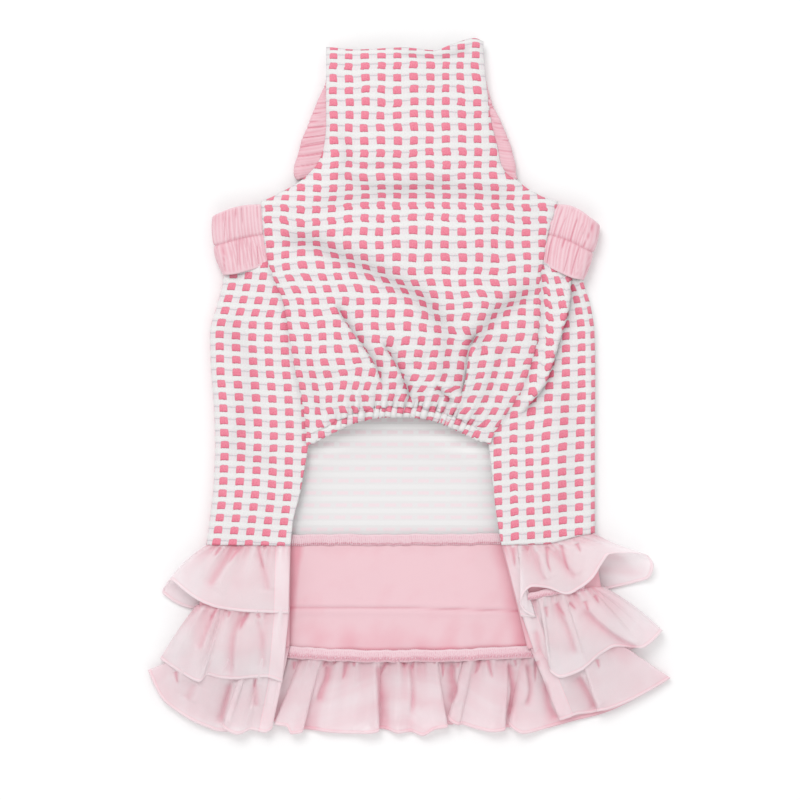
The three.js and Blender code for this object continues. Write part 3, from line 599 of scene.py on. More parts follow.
jersey_feel = {"Roughness": 0.85, "Specular IOR Level": 0.2, "Sheen Weight": 0.2, "Sheen Roughness": 0.4}
ruched_jersey = finish_of("ruched_jersey", jersey_feel, jersey(dye(228, 196, 203), dye(206, 104, 128)))
plain_jersey = finish_of("plain_jersey", jersey_feel, jersey(dye(226, 190, 197), dye(214, 112, 134)))
edge_jersey = finish_of("trimmed_jersey", jersey_feel, jersey(dye(230, 203, 209), dye(210, 124, 144)))
print("jersey finishes, ribs", jersey_rib, "mm apart")

# %% Overlock thread
def thread_looks(light, deep):
    def looks(start, place, u, v):
        object_place = start.node("TexCoord", None, None, out=3)
        fuzz = start.node("TexNoise", None, {"Vector": object_place, "Scale": 1400.0, "Detail": 2.0})
        bump = start.node("Bump", None, {"Strength": 0.5, "Distance": 0.0001, "Height": fuzz})
        return {"Base Color": fuzz.step(0.3, 0.7).tint(light, deep), "Normal": bump}
    return looks


thread_feel = {"Roughness": 0.7, "Sheen Weight": 0.25}
pink_thread = finish_of("pink_thread", thread_feel, thread_looks(dye(232, 203, 210), dye(220, 168, 183)))
deep_thread = finish_of("deep_pink_thread", thread_feel, thread_looks(dye(222, 150, 168), dye(204, 116, 138)))
print("materials so far:", len(bpy.data.materials))

# %% Chiffon, with its doubled hems
hem_width, front_hem, stitch_length = 1.3, 7.2, 1.7


def chiffon_looks(light, deep):
    def looks(start, place, u, v):
        weave = speckle(start, place, 1.1, 4.0)
        cloud = speckle(start, place, 0.05, 2.0)
        # The mark read here paints shade as a darker pink in gathers, under pleats and where the ruffle lies
        # low.
        crease_and_painted_shade = mark(start, "crease_and_painted_shade")
        stitches = (v * (2 * np.pi / stitch_length)).math("SINE").step(-0.1, 0.5)
        hem = v.step(hem_width + 0.25, hem_width - 0.15)
        hem_line = (v - hem_width - 0.2).size().step(0.55, 0.1)
        front = u.step(front_hem + 0.3, front_hem - 0.3)
        front_line = (u - front_hem).size().step(0.42, 0.1) * (0.45 + stitches * 0.55)
        doubled = (hem * 0.8 + front * 0.75).math("MINIMUM", 1.0)
        tone = crease_and_painted_shade * 0.6 + (cloud - 0.5) * 0.3 + 0.01 + doubled * 0.1 + (weave - 0.5) * 0.12
        tone = tone + hem_line * 0.17 + front_line * 0.22
        alpha = 0.5 + doubled * 0.25 + hem_line * 0.08 + front_line * 0.1 + (weave - 0.5) * 0.06
        bump = start.node("Bump", None, {"Strength": 0.3, "Distance": 0.00012, "Height": weave + hem * 2.0})
        colour = tone.math("MAXIMUM", 0.0).math("MINIMUM", 1.0).tint(light, deep)
        return {"Base Color": colour, "Alpha": alpha.math("MINIMUM", 0.97), "Normal": bump}
    return looks


chiffon_feel = {"Roughness": 0.6, "Specular IOR Level": 0.3, "Sheen Weight": 0.35, "Sheen Roughness": 0.35}
chiffon = finish_of("pink_chiffon", chiffon_feel, chiffon_looks(dye(252, 246, 248), dye(238, 148, 170)),
                    sheer=0.18)
print("materials:", len(bpy.data.materials))

# %% [markdown]
# ## Chest panel
# The chest panel is one piece from the neck edge to the belly hem. Below the armholes it is cut straight and
# gathered onto the elastic, so the columns of blocks draw together toward the hem. Its grid follows the cut:
# rows run up the cloth, and the flat coordinates come from lengths measured over the folds.

# %% Folds of the chest panel
chest_columns = 171
hem_cut, fine_pleat, coarse_pleat = 150, 4.6, 10.5
lap_folds = [
    dict(places=[(-12.3, -3), (-16.7, 11.2), (-22.5, 20.7), (-32.6, 34.8), (-38, 44)],
         lip=1.2, dip=1.5, width=4.2, take=3.4),
    dict(places=[(1.8, -8), (-1.4, 1.6), (-5.2, 9.9), (-9.7, 17.5), (-15, 25)],
         lip=1.2, dip=1.4, width=3.8, take=3.4),
    dict(places=[(36, 31), (32.4, 24), (30.4, 19.3), (29, 7.4), (26, -5)],
         lip=1.6, dip=2.0, width=4.6, take=3.0),
    dict(places=[(-4.5, 8), (1.5, -5)], lip=0.6, dip=0.8, width=2.6, take=1.6),
    dict(places=[(13, 4), (23, -6)], lip=0.9, dip=1.0, width=3.0, take=2.0),
]
soft_valleys = [
    dict(places=[(-70, 75), (-52, 74), (-32, 66), (-8, 54), (8, 44), (18, 30)],
         rise=-3.4, width=5.2, take=3.8),
    dict(places=[(-58, 92), (-20, 97), (30, 99), (56, 92)], rise=-1.8, width=5.5, take=1.6),
    dict(places=[(68, 58), (56, 46), (45, 39), (36, 28), (32, 20)], rise=-3.4, width=4.6, take=3.6),
    dict(places=[(16, 40), (19, 22), (17, 2)], rise=-1.8, width=5.5, take=1.8),
    dict(places=[(22, 60), (33, 44), (42, 22)], rise=1.5, width=7.0, take=0),
    dict(places=[(-52, 54), (-44, 30), (-40, 6)], rise=1.4, width=8.0, take=0),
    dict(places=[(-14, 52), (-4, 30), (6, 14)], rise=1.5, width=7.0, take=0),
    dict(places=[(44, 66), (20, 78), (-10, 80)], rise=1.3, width=8.0, take=0),
    dict(places=[(-40, 107), (-8, 100.5), (26, 104)], rise=-1.6, width=3.6, take=1.4),
    dict(places=[(-38, 118), (-20, 112), (6, 113)], rise=-1.0, width=3.0, take=0.8),
    dict(places=[(-36, 130), (-31, 118), (-35, 104)], rise=-1.0, width=3.2, take=0.6),
    dict(places=[(-8, 168), (14, 166), (32, 171)], rise=-1.5, width=2.4, take=1.0),
    dict(places=[(-58, 22), (-50, 6), (-44, -14)], rise=-0.9, width=3.5, take=1.0),
    dict(places=[(52, 26), (44, 12), (38, -8)], rise=-1.1, width=3.4, take=1.2),
]
print("folds of the chest panel:", len(lap_folds), "laps,", len(soft_valleys), "rounded")

# %% Heights of the chest panel
def casing_top(u):
    return arch_y(u) + casing_height


def chest_surface(u, x, y):
    """Height of the chest panel's middle surface, the cloth its folds hide and the shade painted beside them.
    """
    inside = ease(0, 0.1, u) * ease(0, 0.1, 1 - u)
    folds, hidden, shade = folded(x, y, lap_folds, soft_valleys)
    above = np.maximum(y - casing_top(u), 0)
    drawn = ease(0.02, 0.25, u) * ease(0.02, 0.2, 1 - u)
    fine, coarse = gathers(u * hem_cut, fine_pleat, 3), gathers(u * hem_cut, coarse_pleat, 5)
    pull = (1.5 * fine * np.exp(-above / 4.5) + 1.6 * (coarse - 0.4) * np.exp(-above / 13.0)) * drawn
    from_edge = np.minimum(x - edge_x(-1, y), edge_x(1, y) - x)
    pucker = 0.35 * np.sin(2 * np.pi * y / pitch_up) * np.exp(-from_edge / 3.5)
    roll = -1.0 * np.exp(-(from_edge / 1.3) ** 2) - 1.4 * np.exp(-((neck_edge_y(u) - y) / 1.3) ** 2)
    calm = 0.4 * slack(x, y, 34, 11) + 0.12 * slack(x, y, 13, 12)
    # pinched is painted shade in the narrow gaps between the gathers above the casing.
    pinched = 0.55 * (1 - fine) * np.exp(-above / 3.0) + 0.4 * (1 - coarse) * np.exp(-above / 9.0)
    return panel_z(u, y) + inside * folds + pull + pucker + roll + calm, hidden, shade + pinched * drawn


drawn_in = edge_x(1, arch_y(1)) - edge_x(-1, arch_y(0))
print("the chest panel's lower edge, cut", hem_cut, "mm wide, is drawn in to", round(float(drawn_in)), "mm")

# %% Relief of the check
def check_phase(flat):
    return flat / np.array([pitch_across, pitch_up])


def check_relief(flat):
    """How far the cords stand up from the blocks."""
    across, up = (np.abs(check_phase(flat)[..., k] % 1 - 0.5) for k in (0, 1))
    block = (1 - ease(0.24, 0.34, across)) * (1 - ease(0.3, 0.4, up))
    return 0.2 - 0.16 * block - 0.12 * np.exp(-((up - 0.1) / 0.07) ** 2) * (1 - block)


drop = check_relief(np.zeros(2)) - check_relief(np.array([4.0, 3.0]))
print("a cord stands", round(float(drop), 2), "mm above a block")

# %% Place of each point on the uncut cloth
neck_block = (-5.7, 125.75)


def chest_flat(points, hidden):
    """Measured straight up the cloth, and gathered in below the armholes."""
    across = run(points, 1)
    width = across[:, -1:]
    x, y = points[..., 0], points[..., 1]
    row_y = y[:, y.shape[1] // 2]
    armhole_width = np.interp(armhole_y, row_y, width[:, 0])
    gathered = (across / width - 0.5) * armhole_width
    origin = np.take_along_axis(across, np.argmin(np.abs(x - neck_block[0]), 1)[:, None], 1)
    plain = across - origin
    shift = np.interp(armhole_y, row_y, (plain - gathered).mean(1))
    u = mix(plain, gathered + shift, ease(-4, 12, armhole_y - y))
    up = run(points, 0)[:, y.shape[1] // 2]
    beyond = np.minimum(y - row_y[0], 0) + np.maximum(y - row_y[-1], 0)
    rolled_over = 3.6 * np.exp((y - y[-1:]) / 4)
    v = np.interp(y, row_y, up) + beyond + rolled_over - np.interp(neck_block[1], row_y, up)
    flat = np.stack([u, v], -1) + np.array([pitch_across, pitch_up]) / 2
    return flat + hidden + 0.5 * np.stack([slack(x, y, 22, 14), slack(x, y, 22, 15)], -1)


# %% Build the chest panel
def chest_panel():
    u = np.linspace(0, 1, chest_columns)[None]
    beside_wings = np.linspace(0, 1, 92)[:, None]
    at_shoulder = np.linspace(0, 1, 28)[1:, None]
    up_the_neck = np.linspace(0, 1, 88)[1:, None]
    y = np.concatenate([mix(casing_top(u) - 0.4, armhole_y, beside_wings),
                        np.repeat(mix(armhole_y, shoulder_y, at_shoulder), chest_columns, 1),
                        mix(shoulder_y, neck_edge_y(u), up_the_neck)])
    x = mix(edge_x(-1, y), edge_x(1, y), u)
    z, hidden, shade = chest_surface(u, x, y)
    points = np.stack([x, y, z], -1)
    flat = chest_flat(points, hidden)
    return cloth_mesh("chest_cloth", points, cloth, flat, (check_knit, check_wrong),
                      raised=check_relief(flat) - 0.1, marks={"crease_and_painted_shade": np.clip(shade, 0, 1)}), flat[0]


chest_cloth, flat_above_casing = chest_panel()

# %% [markdown]
# ## Belly casing
# The belly hem is turned over an elastic, which draws the cloth into tight little pleats. It is a narrow
# rounded tube, thicker where a pleat stands and pinched at the stitch line above it.

# %% Build the belly casing
def belly_casing():
    u = np.linspace(0, 1, 421)[None]
    f = np.linspace(0, 1, 15)[:, None]
    pleat = gathers(u * hem_cut, fine_pleat, 3)
    y = mix(arch_y(u), casing_top(u), f) + (0.5 * pleat - 0.25) * (1 - f)
    x = mix(edge_x(-1, y), edge_x(1, y), u)
    drawn = ease(0.08, 0.34, u) * ease(0.06, 0.3, 1 - u)
    round_top = np.sqrt(np.clip(1 - (2 * f - 1) ** 2, 0, 1))
    z = panel_z(u, y) + drawn * 0.9 * pleat * (0.4 + 0.6 * round_top) + 0.5 * round_top - 0.4 * f
    thick = 0.8 + 1.5 * round_top
    points = np.stack([x, y, z], -1)
    chest_u = np.linspace(0, 1, chest_columns)
    above_u, above_v = (np.interp(u[0], chest_u, flat_above_casing[:, k]) for k in (0, 1))
    warp = 1.5 * np.sin(2 * np.pi * u * hem_cut / fine_pleat) * drawn
    flat = np.stack([np.repeat(above_u + warp, len(f), 0), above_v - (1 - f) * casing_height * 1.15], -1)
    # Painted shade between the little pleats and along the stitch line above them.
    shade = 0.75 * (1 - pleat) * drawn + 0.5 * ease(0.8, 1, f) * drawn
    return cloth_mesh("belly_hem", points, thick, flat, (check_knit,), raised=check_relief(flat) * 0.6,
                      marks={"crease_and_painted_shade": np.clip(shade, 0, 1)})


belly_hem = belly_casing()

# %% [markdown]
# ## Back panel and wings
# The back is one wide piece. It lies on the surface, turns up round each side and comes in over the belly as
# a wing. Its section is a C: wing, side fold, back, side fold, wing. "round" walks along it from 0 to 5, one
# unit for each part. The skirt and the ruffles use the same section, so the walk is written once.

# %% A walk round a C-shaped section
def wrap(round_at, c):
    """Places (x, z) on the section: wing, left fold, under, right fold, wing."""
    zone = np.minimum(np.floor(round_at), 4)
    f = round_at - zone
    radius = (c["top"] - c["bottom"]) / 2
    level = (c["top"] + c["bottom"]) / 2
    left, right = c["fold_left"] + radius, c["fold_right"] - radius
    turn = np.pi * np.where(zone == 1, f, 1 - f)
    centre = np.where(zone == 1, left, right)
    outward = np.where(zone == 1, -1, 1)
    x = np.select([zone == 0, zone == 4, zone == 2],
                  [mix(c["flap_left"], left, f), mix(right, c["flap_right"], f), mix(left, right, f)],
                  centre + outward * radius * np.sin(turn))
    z = np.select([zone == 0, zone == 4, zone == 2],
                  [mix(c["flap_top"], c["top"], ease(0, 1, f)), mix(c["top"], c["flap_top"], ease(0, 1, f)),
                   c["bottom"] * np.ones_like(f)], level + radius * np.cos(turn))
    return x, z


# %% Seams round the skirt, as shares of its lengths
seams = table("round waist middle bottom",
              (0.0, 0.005, 1.007, 0.960), (1.0, 0.000, 1.000, 1.010), (2.0, 0.000, 1.000, 1.010),
              (2.5, 0.000, 1.016, 1.015), (2.8, -0.010, 0.972, 0.980), (3.0, -0.070, 0.795, 0.900),
              (3.5, -0.115, 0.698, 0.850), (4.0, -0.100, 0.698, 0.850), (4.5, -0.010, 0.760, 0.900),
              (5.0, 0.000, 0.901, 0.980))


def waist_line(round_at):
    return waist_y - skirt_length * column(seams, "round", "waist")(round_at)


def middle_line(round_at):
    return waist_y - middle_seam * column(seams, "round", "middle")(round_at)


def bottom_line(round_at):
    return waist_y - skirt_length * column(seams, "round", "bottom")(round_at)


print("waist seam at the middle of the back:", round(float(waist_line(2.5)), 1))

# %% Shape of the wings
tuck_under = 1.6
wing_folds = [
    dict(places=[(53, -14), (60.5, -5.5), (67.8, 4.5), (74.8, 26), (79.7, 44.5), (80.8, 60)],
         lip=2.2, dip=1.8, width=5.0, take=3.5),
]
wing_valleys = [
    dict(places=[(-96, 40), (-80, 10), (-84, -30)], rise=-1.0, width=7.0, take=1.0),
    dict(places=[(-70, 40), (-64, 0), (-60, -40)], rise=0.9, width=7.0, take=0),
    dict(places=[(-92, -20), (-80, -34), (-66, -36)], rise=-0.9, width=6.0, take=0.8),
    dict(places=[(78, 10), (80, -30), (76, -70)], rise=-1.0, width=7.0, take=1.0),
    dict(places=[(50, -30), (62, -50), (66, -74)], rise=0.9, width=7.0, take=0),
]


def wing_surface(x, y):
    folds, hidden, shade = folded(x, y, wing_folds, wing_valleys)
    return folds + 0.35 * slack(x, y, 30, 21) + 0.1 * slack(x, y, 12, 22), hidden, shade


def body_section(y):
    raised = ease(-0.2, 0.25, (y - arch_y(0)) / arch_rise)
    seam_top = lift(y, "edge") - 1.1
    return {"flap_left": edge_x(-1, y) + tuck_under * raised, "fold_left": fold_x(-1, y),
            "fold_right": fold_x(1, y), "flap_right": edge_x(1, y) - tuck_under * raised,
            "bottom": cloth / 2, "top": fold_top, "flap_top": mix(fold_top, seam_top, raised)}


print("wing's edge at the arch:", round(float(body_section(arch_y(0))["flap_top"]), 1), "mm high")

# %% Lines and rows of the back panel's grid
wing_lines, turn_lines, outer_lines, middle_lines = 48, 9, 16, 60
below_rows, beside_rows, shoulder_rows, neck_rows = 46, 74, 20, 56
matched_row = 60


def back_lines():
    """For each line up the cloth its zone, its side, its share along the zone, and how far out it lies."""
    wing = [("wing", f, f) for f in np.linspace(0, 1, wing_lines)]
    turn = [("turn", f, 1) for f in np.linspace(0, 1, turn_lines)[1:]]
    outer = [("outer", f, 1 - f) for f in np.linspace(0, 1, outer_lines)[1:]]
    half_back = [(zone, -1, f, out) for zone, f, out in wing + turn + outer]
    middle = [("middle", 0, u, 0) for u in np.linspace(0, 1, middle_lines)[1:-1]]
    lines = half_back + middle + [(zone, 1, f, out) for zone, _, f, out in reversed(half_back)]
    return (np.array(values)[None] for values in zip(*lines))


def place_on_walk(zone, side, f):
    """Where each line stands on the walk round the C, and its share of the way across the panel."""
    from_wing = np.where(zone == "wing", f, 1 + f)
    beside_middle = np.where(side < 0, 0.25 * f, 1 - 0.25 * f)
    under = 2 + np.where(zone == "middle", mix(0.25, 0.75, f), beside_middle)
    on_side = (zone == "wing") | (zone == "turn")
    round_at = np.where(on_side, np.where(side < 0, from_wing, 5 - from_wing), under)
    return round_at, np.where(zone == "middle", f, (side > 0) * 1.0)


def back_rows(side, out, round_at, u):
    """Y of every point: up to the arch, to the armhole, to the shoulder and to the neck edge."""
    arch_end = mix(arch_y(0), arch_y(1), u)
    dip = np.where(side < 0, armhole_dips[-1], armhole_dips[1])
    armhole = armhole_y - cuff_height * out * dip * (side != 0) - 0.3
    neck_top = neck_edge_y(u) - 0.03 * neck_height
    below, aside, shoulder, up_the_neck = (np.linspace(0, 1, rows)[:, None] for rows in
                                           (below_rows, beside_rows, shoulder_rows, neck_rows))
    return np.concatenate([mix(waist_line(round_at), arch_end, below), mix(arch_end, armhole, aside[1:]),
                           mix(armhole, shoulder_y, shoulder[1:]),
                           mix(shoulder_y, neck_top, up_the_neck[1:])])


print("lines up the back panel:", next(back_lines()).size)

# %% Shape of the back panel, and which cells are cloth
def back_shape(zone, side, f, round_at, u, y):
    """Points of the sheet, the cloth that the wings' folds hide, and the shade painted beside them and where
    the wing tucks under.
    """
    section = body_section(y)
    x, z = wrap(round_at + np.zeros_like(y), section)
    radius = (section["top"] - section["bottom"]) / 2
    start = np.where(side < 0, section["fold_left"] + radius, section["fold_right"] - radius)
    edge = np.where(side < 0, edge_x(-1, y), edge_x(1, y))
    x = np.where(zone == "outer", mix(start, edge, f), x)
    x = np.where(zone == "middle", mix(edge_x(-1, y), edge_x(1, y), f), x)
    on_wing = np.broadcast_to(zone == "wing", y.shape)
    rise, hidden, shade = wing_surface(x, y)
    z = z + np.where(on_wing, rise * ease(0, 0.15, 1 - f), 0)
    z = z + 1.6 * (zone == "middle") * np.exp(-(x / 34) ** 2 - ((y + 22) / 24) ** 2)
    under = (zone == "middle") | (zone == "outer")
    near_edge = np.exp(-((1 - np.abs(2 * u - 1)) / 0.12) ** 2) * under
    z = z + 1.6 * near_edge * np.exp(-((up_neck(y) - 0.055) / 0.05) ** 2)
    # Painted shade along the wing's edge, where it tucks under the chest panel.
    painted_tuck_shade = 0.5 * np.exp(-((x - edge) / 2.2) ** 2) * (y > arch_y(0))
    return np.stack([x, y, z], -1), hidden, np.where(on_wing, shade + painted_tuck_shade, 0)


def back_cells(zone, out, rows):
    """All cells are cloth up to the armholes, and above them only those of the back itself."""
    inner = (out[:, :-1] == 0) & (out[:, 1:] == 0) & (zone[:, :-1] != "wing") & (zone[:, 1:] != "wing")
    return (np.arange(rows - 1)[:, None] < below_rows + beside_rows - 1) | inner


# %% Place of the back panel's points on the uncut cloth
def back_flat(points, zone, side, hidden):
    """Measured inward from each side fold. Whole repeats join the two halves in the middle of the back."""
    x, y, z = np.moveaxis(points, -1, 0)
    across = run(points, 1)
    lines = points.shape[1]
    fold, centre = wing_lines - 1 + turn_lines // 2, lines // 2
    from_left = across - across[:, fold:fold + 1]
    from_right = across - across[:, lines - 1 - fold:lines - fold]
    blend = ease(centre - 20, centre + 20, np.arange(lines))[None]
    repeats = np.round((from_left - from_right)[matched_row, centre] / pitch_across)
    flat_u = mix(from_left, from_right + repeats * pitch_across, blend)
    slope = np.gradient(z, axis=0) ** 2 + np.gradient(y, axis=0) ** 2
    flat_v = np.cumsum(np.sqrt(slope), axis=0)
    flat_v = flat_v - flat_v[matched_row] + y[matched_row]
    on_wing = np.broadcast_to(zone == "wing", y.shape)
    tilt = np.where(on_wing, np.where(side < 0, 0.06, -0.08) * (x - 95 * side), 0)
    flat = np.stack([flat_u + 0.3 * pitch_across, flat_v + tilt + pitch_up / 2 - neck_block[1]], -1)
    return flat + np.where(on_wing[..., None], hidden, 0)


# %% Build the back panel
def back_panel():
    zone, side, f, out = back_lines()
    round_at, u = place_on_walk(zone, side, f)
    y = back_rows(side, out, round_at, u)
    points, hidden, shade = back_shape(zone, side, f, round_at, u, y)
    flat = back_flat(points, zone, side, hidden)
    # The second mark paints shade on the inside of the back, darker the farther in from the arch.
    return cloth_mesh("back_cloth", points, cloth, flat, (check_knit, check_wrong), outside=-1,
                      kept=back_cells(zone, out, len(y)),
                      raised=np.where(points[..., 2] > 4, check_relief(flat) - 0.14, 0),
                      marks={"crease_and_painted_shade": np.clip(shade, 0, 1), "painted_shade_from_arch": ease(1, 15, arch_y(u) - y)})


back_cloth = back_panel()

# %% [markdown]
# ## Ruched bands
# The leg bands and neck gussets are jersey over elastic. Gathered jersey isn't evenly ribbed: it has a few
# sharp creases at uneven distances, each running part of the way. Each crease is placed by a seeded draw,
# pressed into the mesh and marked, so that the material can paint shade into it as a darker pink.

# %% Creases of ruched jersey
def ruching(along, across, length, pitch, seed, slant=0.0, shortest=0.55):
    """Depth of uneven creases, 0 to 1. along counts millimetres from crease to crease, across runs from 0
    to 1 along each of them."""
    rng = np.random.default_rng(seed)
    depth = np.zeros_like(along + across)
    place = rng.uniform(0, pitch)
    while place < length:
        start, stop = sorted(rng.uniform(-0.3, 1.3, 2))
        stop = max(stop, start + shortest)
        wander = slant * (across - 0.5) + 0.35 * np.sin(3 * across + rng.uniform(0, 6))
        width = rng.uniform(0.24, 0.5)
        line = np.exp(-((along - place - wander) / width) ** 2)
        reach = ease(start - 0.15, start + 0.1, across) * ease(-stop - 0.15, -stop + 0.1, -across)
        depth = np.maximum(depth, rng.uniform(0.45, 1.0) * line * reach)
        place += pitch * rng.uniform(0.35, 1.5)
    return depth


def hook(side, way, c):
    """Places (x, z) on a band sewn in between the panel's edge and the back: over, round, and back under."""
    zone = np.minimum(np.floor(way), 2)
    f = np.where(zone == 2, 3 - way, way)
    radius = (c["top_out"] - c["bottom_out"]) / 2
    centre = c["fold"] - side * radius
    turn = np.pi * (way - 1)
    leaves = side * np.minimum(side * c["edge"] + cloth / 2, side * centre - cloth / 4)
    inside = np.where(zone == 0, c["top_in"], c["bottom_in"])
    outside = np.where(zone == 0, c["top_out"], c["bottom_out"])
    sewn = 0.2
    past = np.clip((f - sewn) / (1 - sewn), 0, 1)
    x_flat = np.where(f <= sewn, mix(leaves - side * 3, leaves, f / sewn), mix(leaves, centre, past))
    x = np.where(zone == 1, centre + side * radius * np.sin(turn), x_flat)
    level = (c["top_out"] + c["bottom_out"]) / 2
    z = np.where(zone == 1, level + radius * np.cos(turn), mix(inside, outside, ease(0, 1, past)))
    return x, z


print("deepest crease of a sample:", round(float(ruching(np.linspace(0, 30, 300), 0.5, 30, 2.6, 1).max()), 2))

# %% Build the leg bands
cuff_fold = table("up left right", (0.0, 0.964, 0.905), (0.5, 1.012, 0.955), (1.0, 1.020, 0.990))


def leg_band(side):
    name = "left" if side < 0 else "right"
    way = np.concatenate([np.linspace(0, 1, 76), np.linspace(1, 2, 20)[1:], np.linspace(2, 3, 40)[1:]])[None]
    up = np.linspace(0, 1, 49)[:, None]
    out = np.clip((np.minimum(way, 3 - way) - 0.2) / 0.8, 0, 1)
    reach = 0.84 * out + 0.16 * np.where((way > 1) & (way < 2), np.sin(np.pi * (way - 1)), 0)
    low = armhole_y - cuff_height * reach * armhole_dips[side] - 0.8 + 1.5 * reach ** 8
    top = shoulder_y - cuff_height * (0.03 + (0.2 if side < 0 else 0.34) * reach ** 2.4)
    y = mix(low, top, up)
    sewn = cloth / 2 + 0.45 + band_cloth / 2
    x, z = hook(side, np.repeat(way, len(up), 0), {
        "edge": edge_x(side, y), "fold": side * column(cuff_fold, "up", name)(up) * half,
        "top_in": lift(y, "edge") - sewn, "top_out": cuff_loft - band_cloth / 2,
        "bottom_out": band_cloth / 2, "bottom_in": cloth / 2 + sewn})
    points = np.stack([x, y, z], -1)
    along = run(points, 1)
    length = along.max()
    half_way = ease(0.48, 0.52, up)
    lower = ruching(along, up * 2, length, 2.6, 41 + side, slant=1.2 * side, shortest=0.9)
    upper = ruching(along, up * 2 - 1, length, 2.6, 47 + side, slant=1.2 * side, shortest=0.9)
    wander = 1.2 * side * (up - 0.5) + 0.3 * np.sin(7 * up)
    ribs = mix(gathers(along + wander, 1.9, 51 + side), gathers(along + wander + 1, 1.8, 55 + side), half_way)
    # Painted shade: the mark darkens the creases, the hollows between the ribs and the seam between the two
    # channels.
    crease_and_painted_shade = (np.maximum(mix(lower, upper, half_way), 0.42 * (1 - ribs) ** 1.5)
              * ease(0, 0.06, up) * ease(0, 0.04, 1 - up))
    channel = np.sqrt(np.clip(np.abs(np.sin(2 * np.pi * up)), 0, 1))
    seam = np.exp(-((up - 0.5) / 0.018) ** 2)
    swell = (0.9 * channel - 0.5 * seam - 0.7 * crease_and_painted_shade) * ease(2.0, 1.5, way)
    flat = np.stack([along, np.repeat(up * cuff_height, way.size, 1)], -1)
    return cloth_mesh(f"leg_band_{name}", points, 1.5, flat, (ruched_jersey,), outside=side,
                      raised=swell, marks={"crease_and_painted_shade": np.clip(crease_and_painted_shade * 0.75 + 0.28 * seam, 0, 1)})


leg_bands = {side: leg_band(side) for side in (-1, 1)}

# %% Build the neck gussets
def neck_gusset(side):
    name = "left" if side < 0 else "right"
    shows = column(neck, "up", "gusset_" + name)
    way = np.concatenate([np.linspace(0, 1, 30), np.linspace(1, 2, 14)[1:], np.linspace(2, 3, 30)[1:]])[None]
    up = np.linspace(0, 1, 150)[:, None]
    y = np.repeat(mix(shoulder_y + neck_height * 0.15, shoulder_y + neck_height * 0.93, up), way.size, 1)
    reach = gusset_reach * shows(up_neck(y))
    opened = ease(3, 9, reach)
    sewn = cloth / 2 + 0.45 + 0.7
    top_in, bottom_in = lift(y, "edge") - sewn, cloth / 2 + sewn
    x, z = hook(side, np.repeat(way, len(up), 0), {
        "edge": edge_x(side, y), "fold": edge_x(side, y) + side * reach,
        "top_in": top_in, "top_out": mix(top_in, lift(y, "edge") - 0.7, opened),
        "bottom_out": mix(bottom_in, 0.7, opened), "bottom_in": bottom_in})
    points = np.stack([x, y, z], -1)
    along = y - y[0]
    slanted = along + 0.16 * side * (x - x[:, :1])
    crease_and_painted_shade = ruching(slanted, way / 3, 66, 2.3, 61 + side)
    tight = ruching(along, way / 3, 66, 1.3, 71 + side) * ease(38, 52, along)
    ribs = gathers(slanted + 0.3 * np.sin(way * 2), 1.5, 77 + side)
    crease_and_painted_shade = np.maximum(np.maximum(crease_and_painted_shade, tight), 0.24 * (1 - ribs) ** 1.5)
    flat = np.stack([along, run(points, 1)], -1)
    # The mark paints shade into the creases and between the ribs, and its base of 0.16 makes the whole band a
    # darker pink.
    return cloth_mesh(f"neck_band_{name}", points, 1.2, flat, (ruched_jersey,), outside=side,
                      raised=(0.1 - 0.6 * crease_and_painted_shade) * ease(2.4, 1.8, way),
                      marks={"crease_and_painted_shade": np.clip(0.16 + crease_and_painted_shade * 0.8, 0, 1)})


neck_bands = {side: neck_gusset(side) for side in (-1, 1)}

# %% [markdown]
# ## Underskirt
# The underskirt is plain jersey, open down the belly. It follows the same C as the back, one layer inside
# the ruffles. A pressed stitch line runs across it, where the middle ruffle is sewn on from outside.

# %% Section of the underskirt, down from the waist seam (0) to its lower edge (1)
layer, frill_layer, skirt_rise = 1.55, 1.45, 1.6
stitch_line_y = -108.6


def skirt_section(down):
    top = fold_top - layer + skirt_rise * ease(0, 0.5, down)
    return {"flap_left": edge_x(-1, waist_y) - 0.05 * skirt_flare * down,
            "fold_left": fold_x(-1, waist_y) + layer - skirt_flare * down,
            "fold_right": fold_x(1, waist_y) - layer + skirt_flare * down,
            "flap_right": edge_x(1, waist_y) + 1.45 * skirt_flare * down,
            "bottom": 0.5 + layer + frill_layer * ease(0, 0.5, down),
            "top": top, "flap_top": top}


lower_edge = skirt_section(1)
print("underskirt's hem is", round(float(lower_edge["fold_right"] - lower_edge["fold_left"])), "mm wide")

# %% Build the underskirt
def rounds(*steps):
    """Places along the walk, with the given number of steps in each of its parts."""
    return np.concatenate([k + np.linspace(0, 1, n + 1)[1 if k else 0:] for k, n in enumerate(steps)])


